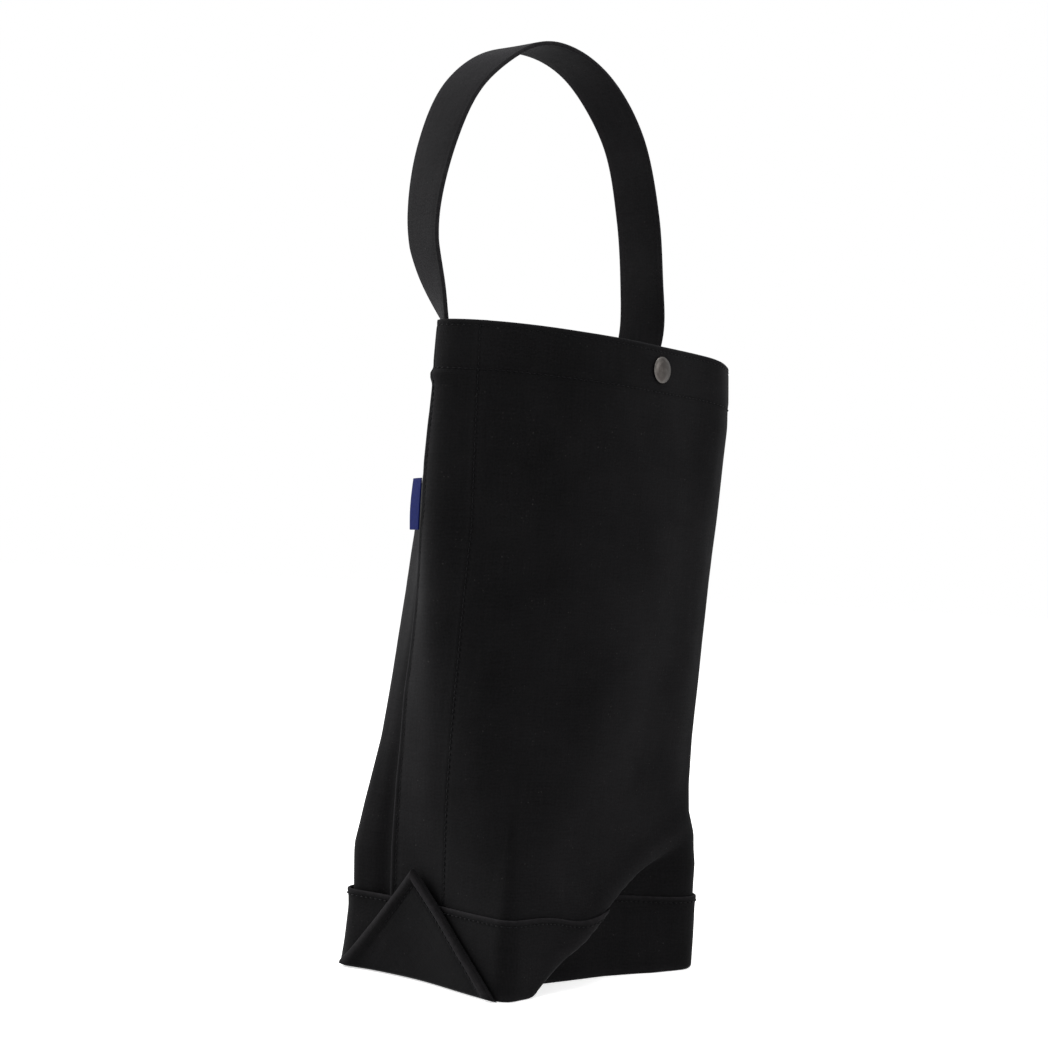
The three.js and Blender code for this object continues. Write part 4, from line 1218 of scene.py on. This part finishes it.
@dataclass
class Snap:
    """The snap: capped socket with its ring spring on the front, capped stud on the back."""

    maker: Maker
    cap: float = 7.0
    post: float = 2.0
    stud: float = 3.2
    half: float = 6.0
    facets: int = 64

    def build(self, finishes: Finishes) -> list[bpy.types.Object]:
        """Builds the five pieces on the line through the CAD cap's middle."""
        front_low, front_high = (np.array(v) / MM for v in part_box("snap_cap"))
        stud_low, _ = (np.array(v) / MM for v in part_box("snap_stud"))
        back_low, back_high = (np.array(v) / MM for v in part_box("snap_back_cap"))
        spring_low, spring_high = (np.array(v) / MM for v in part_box("snap_spring"))
        socket_low, socket_high = (np.array(v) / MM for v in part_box("snap_socket"))
        centre = (front_low + front_high) / 2
        turned = partial(self._turned, centre)
        depth = front_high[1] - front_low[1]
        cap = self._cap_profile(self.cap, 2.4, depth)
        back = self._cap_profile(self.half, 1.4, back_high[1] - back_low[1])
        socket = self._socket_profile(socket_high[1] - socket_low[1])
        stud = np.array([[0, 0], [1.7, 0.1], [2.7, 0.5], [self.stud, 1.3], [2.95, 1.9], [2.75, 2.35], [2.9, 2.6],
                         [5.7, 2.65], [self.half, 2.9], [5.95, 3.3], [5.6, 3.5], [2.4, 3.5], [2.4, 2.95], [0, 2.95]])
        middle = (spring_low[1] + spring_high[1]) / 2
        turn = np.radians(np.linspace(0, 360, 17))
        wire = np.stack([3.95 + 0.35 * np.cos(turn), 0.35 * np.sin(turn)], axis=1)
        gunmetal, nickel, front, rear = finishes.gunmetal, finishes.nickel, Body.FRONT_MOUTH, Body.BACK_MOUTH
        return [
            turned("snap_cap_dome", cap, front_low[1], 1, gunmetal, "snap_cap", "snap_cap", front),
            turned("snap_socket_ring", socket, socket_low[1], 1, nickel, "snap_steel", "snap_socket", front),
            turned("snap_ring_spring", wire, middle, 1, nickel, "snap_steel", "snap_spring", front),
            turned("snap_stud_head", stud, stud_low[1], 1, nickel, "snap_steel", "snap_stud", rear),
            turned("snap_back_dome", back, back_high[1], -1, gunmetal, "snap_cap", "snap_back_cap", rear),
        ]

    def _cap_profile(self, radius: float, dome: float, depth: float) -> Array:
        """Cap: an elliptic dome, a rolled rim, a flat underside and the post."""
        t = np.radians(np.linspace(90, 14, 14))
        domed = np.stack([radius * 0.97 * np.cos(t), dome * 0.92 * (1 - np.sin(t))], axis=1)
        rim = np.array([[radius, dome * 0.86], [radius * 0.992, dome * 0.95], [radius * 0.96, dome]])
        under = np.array([[self.post + 0.3, dome], [self.post, dome + 0.2], [self.post, depth - 0.2],
                          [self.post - 0.3, depth], [0, depth]])
        return np.vstack([[[0, 0]], domed[1:], rim, under])

    def _socket_profile(self, depth: float) -> Array:
        """Socket: a closed section with a rounded rim, a lip and the spring's groove."""
        lip, groove, bore = self.stud + 0.5, self.stud + 1.4, self.post + 0.4
        return np.array([[bore, 0], [self.half - 0.5, 0], [self.half - 0.1, 0.25], [self.half, 0.7],
                         [self.half, depth - 0.5], [self.half - 0.25, depth - 0.1], [self.half - 0.7, depth],
                         [lip + 0.25, depth], [lip, depth - 0.2], [lip, depth - 0.5], [groove, depth - 0.5],
                         [groove, 0.8], [bore, 0.8], [bore, 0]])

    def _turned(
        self, centre: Array, name: str, profile: Array, foot: float, way: int, look: bpy.types.Material, slot: str,
        node: str, body: Body,
    ) -> bpy.types.Object:
        """Turns a profile of radius and depth about the snap's line.

        Args:
            centre: a point on the line, in the frame.
            name: the piece's name.
            profile: radius and depth of each point.
            foot: Y of depth 0.
            way: 1 if depth runs towards +Y, and -1 if it runs towards -Y.
            look: the metal.
            slot: not used.
            node: the CAD node that it stands for.
            body: the body that it rides on.

        Returns:
            The finished piece.
        """
        turn = np.linspace(0, 2 * np.pi, self.facets, endpoint=False)
        r, d = profile[:, 0][None], profile[:, 1][None]
        x = centre[0] + r * np.cos(turn)[:, None]
        z = centre[2] + r * np.sin(turn)[:, None]
        points = np.stack([x, foot + way * d + 0 * x, z], axis=-1).reshape(-1, 3) - self.maker.form.origin
        index = np.arange(len(points)).reshape(self.facets, -1)
        faces = grid_quads(np.vstack([index, index[:1]]))
        faces = outwards(points - points.mean(0), faces)
        wear = np.broadcast_to(0.8 * bell(profile[:, 0], self.cap * 0.98, 0.5), (self.facets, len(profile))).ravel()
        uv = points[:, [0, 2]] * MM
        made = self.maker.piece(name, points, faces, uv, wear, weld=True)
        made.data.shade_smooth()
        mod = made.modifiers.new("crisp_edges", "BEVEL")
        mod.width, mod.segments, mod.limit_method = 0.00008, 1, "ANGLE"
        return finish_piece(made, look, (node,), body)


# ---- Stitching ----------------------------------------------------------------------------------


@dataclass
class Stitching:
    """Rows of lockstitch: each stitch is a short bowed thread whose ends dive into the canvas."""

    maker: Maker
    base: Base
    handle: Handle
    look: bpy.types.Material | None = field(default=None, init=False)
    pitch: float = STITCH
    length: float = 2.45
    radius: float = 0.27

    def build(self, finishes: Finishes) -> list[bpy.types.Object]:
        """Builds every row."""
        form, self.look = self.maker.form, finishes.thread
        row = form.lap - 3
        made = []
        for label, z in (("edge", form.height - 3), ("hem", form.height - form.hem + 3)):
            front = np.arange(-form.lap + 1.5, form.flat + form.lap - 1, 1.5)
            back = np.arange(form.flat + form.lap + 1.5, form.girth - form.lap - 1, 1.5)
            nodes = tuple(f"{part}_{label}_stitches" for part in ("front", "left", "right"))
            made.append(self._row(f"front_{label}_stitch_row", front, z + 0 * front, -1.55, nodes, Body.FRONT_MOUTH))
            made.append(self._row(f"back_{label}_stitch_row", back, z + 0 * back, -3.05, (f"back_{label}_stitches",),
                                  Body.BACK_MOUTH))
        low = form.band + 1
        for side, line in ((Side.LEFT, 0.0), (Side.RIGHT, form.flat)):
            name = side.label
            z = np.arange(low, form.height - form.hem - 1, 1.5)
            full = np.arange(low, form.height - 1.5, 1.5)
            back_s, front_s = line + side.value * row, line - side.value * row
            made.append(self._row(f"{name}_seam_back_stitch_row", back_s + 0 * z, z, -1.55,
                                  (f"{name}_seam_back_stitches",), Body.FRONT_MOUTH))
            made.append(self._row(f"{name}_seam_front_stitch_row", front_s + 0 * full, full, -1.55,
                                  (f"{name}_seam_front_stitches",), Body.FRONT_MOUTH))
            made.append(self._corner_row(side))
            made.append(self._tail_row(side))
        around = np.arange(0, form.girth, 1.5)
        made.append(self._row("base_band_stitch_row", around, form.band - 3 + 0 * around, 0.4,
                              ("base_band_stitches",), None))
        return made

    def _row(
        self, name: str, s: Array, z: Array, face: float, nodes: tuple[str, ...], towards: Body | None
    ) -> bpy.types.Object:
        """A row of stitches that lies on the soft wall.

        Args:
            name: the row's name.
            s: arc positions along the row.
            z: heights along the row.
            face: offset of the face that it lies on.
            nodes: the CAD rows that it stands for.
            towards: the body across the joint that the canvas under it crosses, if any; the row is then baked where
                it stands.

        Returns:
            The finished row.
        """
        form = self.maker.form
        return self._stitches(name, form.wall(s, z, face - 0.05), form.normal(s, z), nodes, towards)

    def _corner_row(self, side: Side) -> bpy.types.Object:
        """Row inside the fold of a corner, up one slanted edge and down the other."""
        half, reach = self.maker.form.depth / 2, self.base.flap_reach
        slope = math.hypot(half, reach)
        inset = 6.4 * slope / reach
        t = np.linspace(0.02, 1, 70)
        top = 1 - inset / half
        up = np.concatenate([t * top, (t * top)[::-1][1:]])
        sign = np.concatenate([-np.ones(len(t)), np.ones(len(t) - 1)])
        across = sign * (1 - inset / np.maximum(half * (1 - up), inset))
        crown = 0.7 * np.sin(np.pi * up) * (1 - across**2)
        points = self.base.flap_point(side, across, up, 3.1 + crown - 0.25)
        normal = np.tile([float(side.value), 0.0, 0.0], (len(points), 1))
        name = side.label
        return self._stitches(f"{name}_corner_stitch_row", points, normal, (f"{name}_corner_flap_stitches",), None)

    def _tail_row(self, side: Side) -> bpy.types.Object:
        """Box of stitches that holds one end of the strap, on its inner face."""
        form, handle = self.maker.form, self.handle
        near, far = handle.edges(side)
        inward = math.copysign(3.0, far - near)
        low, high = form.height - handle.tail + 3, form.height - 5
        corners = np.array([[near + inward, low], [far - inward, low], [far - inward, high], [near + inward, high],
                            [near + inward, low]])
        t = np.linspace(0, 4, 120)
        s = np.interp(t, range(5), corners[:, 0])
        z = np.interp(t, range(5), corners[:, 1])
        offset = handle.inside - handle.thickness / 2 - 0.15 + form.give(s % form.girth, z)
        points = form.smooth_wall(s, z, offset)
        points[:, 2] = z
        normal = -form.normal(s, z)
        name = side.label
        return self._stitches(f"{name}_handle_stitch_box", points, normal, (f"{name}_handle_stitches",), None)

    def _stitches(
        self, name: str, path: Array, normals: Array, nodes: tuple[str, ...], towards: Body | None
    ) -> bpy.types.Object:
        """Each stitch is a six-sided tube along the path: its middle rises by most of its radius above the face,
        and its ends dive below it as a fourth power of the distance from the middle.

        Args:
            name: the row's name.
            path: points along the row.
            normals: outward normals at those points.
            nodes: the CAD rows that it stands for.
            towards: the body across the joint that the canvas under it crosses, if any; the row is then baked where
                it stands.

        Returns:
            The finished row.
        """
        places = run_lengths(path)
        count = int(places[-1] / self.pitch)
        middles = (np.arange(count) + 0.5) * places[-1] / count
        t = np.linspace(-1, 1, 6)
        where = middles[:, None] + t * self.length / 2
        middle, up = (
            np.stack([np.interp(where, places, table[:, k]) for k in range(3)], axis=-1) for table in (path, normals)
        )
        up = unit(up)
        line = middle + up * (self.radius * (0.75 - 2.6 * t**4))[None, :, None]
        along = unit(np.gradient(line, axis=1))
        over = unit(np.cross(up, along))
        up = unit(np.cross(along, over))
        turn = np.arange(6) * np.pi / 3
        swell = self.radius * np.array([0.55, 0.9, 1, 1, 0.9, 0.55])[None, :, None, None]
        cosine, sine = np.cos(turn)[None, None, :, None], np.sin(turn)[None, None, :, None]
        ring = up[:, :, None] * cosine + over[:, :, None] * sine
        points = (line[:, :, None] + ring * swell).reshape(-1, 3)
        index = np.arange(len(points)).reshape(count, 6, 6)
        closed = np.concatenate([index, index[:, :, :1]], axis=2)
        a, b = closed[:, :-1, :-1], closed[:, 1:, :-1]
        c, d = closed[:, 1:, 1:], closed[:, :-1, 1:]
        tubes = np.stack([a, b, c, d], axis=-1).reshape(-1, 4)
        caps = [*index[:, 0].tolist(), *index[:, -1, ::-1].tolist()]
        v = np.broadcast_to(np.arange(6) / 6, (count, 6, 6))
        u = np.broadcast_to((where * MM)[:, :, None], (count, 6, 6))
        uv = np.stack([u, v], axis=-1).reshape(-1, 2)
        faces = [*outwards(points - points.mean(0), tubes).tolist(), *caps]
        made = self.maker.piece(name, points, faces, uv)
        return finish_piece(made, self.look, nodes, Body.BAG, towards)


# ---- Studio -------------------------------------------------------------------------------------


@dataclass
class Studio:
    """White sweep, soft lamps and the camera at the viewing angle."""

    form: BagForm
    azimuth: float = -48.74
    distance: float = 983.47
    eye: float = 206.97
    pitch: float = -1.8
    roll: float = 3.05
    lens: float = 62.24
    shift: float = -0.0167

    def build(self) -> None:
        """Sets the view, the world, the floor, the lamps and the camera."""
        bpy.context.scene.view_settings.view_transform = "Standard"
        self._world()
        self._floor()
        self._lamp("key_softbox", (-1.15, 2.1, 1.2), (-0.02, 0, 0.24), 1.4, 88.0)
        self._lamp("front_fill", (-0.1, -2.5, 1.3), (0, 0, 0.2), 1.4, 34.0)
        self._lamp("top_softbox", (-0.2, -0.1, 2.4), (0, 0, 0.2), 1.2, 26.0)
        self._camera()

    def _world(self) -> None:
        """Plain light from all round; white where the camera, a reflection or clear glass sees it."""
        world = bpy.data.worlds.new("white_room")
        bpy.context.scene.world = world
        world.use_nodes = True
        tree = world.node_tree
        tree.nodes.clear()
        out = tree.nodes.new("ShaderNodeOutputWorld")
        plain, white = (tree.nodes.new("ShaderNodeBackground") for _ in range(2))
        plain.inputs["Color"].default_value = (1, 1, 1, 1)
        plain.inputs["Strength"].default_value = 0.62
        white.inputs["Strength"].default_value = 1.0
        white.inputs["Color"].default_value = (1, 1, 1, 1)
        mix = tree.nodes.new("ShaderNodeMixShader")
        tree.links.new(self._seen(tree), mix.inputs[0])
        tree.links.new(plain.outputs[0], mix.inputs[1])
        tree.links.new(white.outputs[0], mix.inputs[2])
        tree.links.new(mix.outputs[0], out.inputs["Surface"])

    @staticmethod
    def _seen(tree: bpy.types.NodeTree) -> bpy.types.NodeSocket:
        """1 for camera, glossy and transmission rays, and 0 for the rest."""
        path = tree.nodes.new("ShaderNodeLightPath")
        total = path.outputs["Is Camera Ray"]
        for name in ("Is Glossy Ray", "Is Transmission Ray"):
            add = tree.nodes.new("ShaderNodeMath")
            add.operation = "MAXIMUM"
            tree.links.new(total, add.inputs[0])
            tree.links.new(path.outputs[name], add.inputs[1])
            total = add.outputs[0]
        return total

    def _floor(self) -> None:
        """Pale floor that a little glow of its own lifts to white outside the bag's shadow."""
        mesh = bpy.data.meshes.new("floor")
        mesh.from_pydata([(-30, -30, 0), (30, -30, 0), (30, 30, 0), (-30, 30, 0)], [], [(0, 1, 2, 3)])
        floor = bpy.data.objects.new("floor", mesh)
        bpy.context.scene.collection.objects.link(floor)
        material = bpy.data.materials.new("white_floor")
        material.use_nodes = True
        tree = material.node_tree
        tree.nodes.clear()
        out = tree.nodes.new("ShaderNodeOutputMaterial")
        matt = tree.nodes.new("ShaderNodeBsdfDiffuse")
        matt.inputs["Color"].default_value = (0.86, 0.86, 0.86, 1)
        glow = tree.nodes.new("ShaderNodeEmission")
        strength = tree.nodes.new("ShaderNodeMath")
        strength.operation = "MULTIPLY"
        strength.inputs[1].default_value = 0.56
        tree.links.new(self._seen(tree), strength.inputs[0])
        tree.links.new(strength.outputs[0], glow.inputs["Strength"])
        add = tree.nodes.new("ShaderNodeAddShader")
        tree.links.new(matt.outputs[0], add.inputs[0])
        tree.links.new(glow.outputs[0], add.inputs[1])
        tree.links.new(add.outputs[0], out.inputs["Surface"])
        mesh.materials.append(material)

    @staticmethod
    def _lamp(name: str, place: tuple, aim: tuple, size: float, power: float) -> None:
        """A square soft lamp aimed at a point."""
        data = bpy.data.lights.new(name, "AREA")
        data.shape, data.size, data.energy = "SQUARE", size, power
        lamp = bpy.data.objects.new(name, data)
        bpy.context.scene.collection.objects.link(lamp)
        lamp.location = place
        lamp.rotation_euler = (Vector(aim) - Vector(place)).to_track_quat("-Z", "Y").to_euler()

    def _camera(self) -> None:
        """Camera level with the upper body of the bag, turned a little about its own line of sight."""
        a, p, r = (math.radians(v) for v in (self.azimuth, self.pitch, self.roll))
        right = Vector((math.cos(a), math.sin(a), 0))
        ahead = Vector((-math.sin(a), math.cos(a), 0))
        up = Vector((0, 0, 1))
        look, top = ahead * math.cos(p) - up * math.sin(p), up * math.cos(p) + ahead * math.sin(p)
        across = right * math.cos(r) + top * math.sin(r)
        top = -right * math.sin(r) + top * math.cos(r)
        place = (Vector((0, 0, self.eye)) - ahead * self.distance + Vector(self.form.origin)) * MM
        data = bpy.data.cameras.new("camera")
        data.lens, data.sensor_width, data.shift_x = self.lens, 36.0, self.shift
        data.clip_start, data.clip_end = 0.05, 100.0
        camera = bpy.data.objects.new("camera", data)
        bpy.context.scene.collection.objects.link(camera)
        turn = Matrix((across, top, -look)).transposed()
        camera.matrix_world = Matrix.Translation(place) @ turn.to_4x4()
        bpy.context.scene.camera = camera


def main() -> None:
    """Builds the studio and every piece of the bag, in the order they are sewn together."""
    logging.basicConfig(level=logging.INFO, format="%(message)s")
    form = BagForm()
    maker = Maker(form)
    Studio(form).build()
    finishes = Finishes.make()
    base, handle = Base(maker), Handle(maker)
    for part in (Panels(maker), base, handle, SideTag(maker), Snap(maker), Stitching(maker, base, handle)):
        made = part.build(finishes)
        LOG.info("%s: %d pieces", type(part).__name__, len(made))


if __name__ == "__main__":
    main()
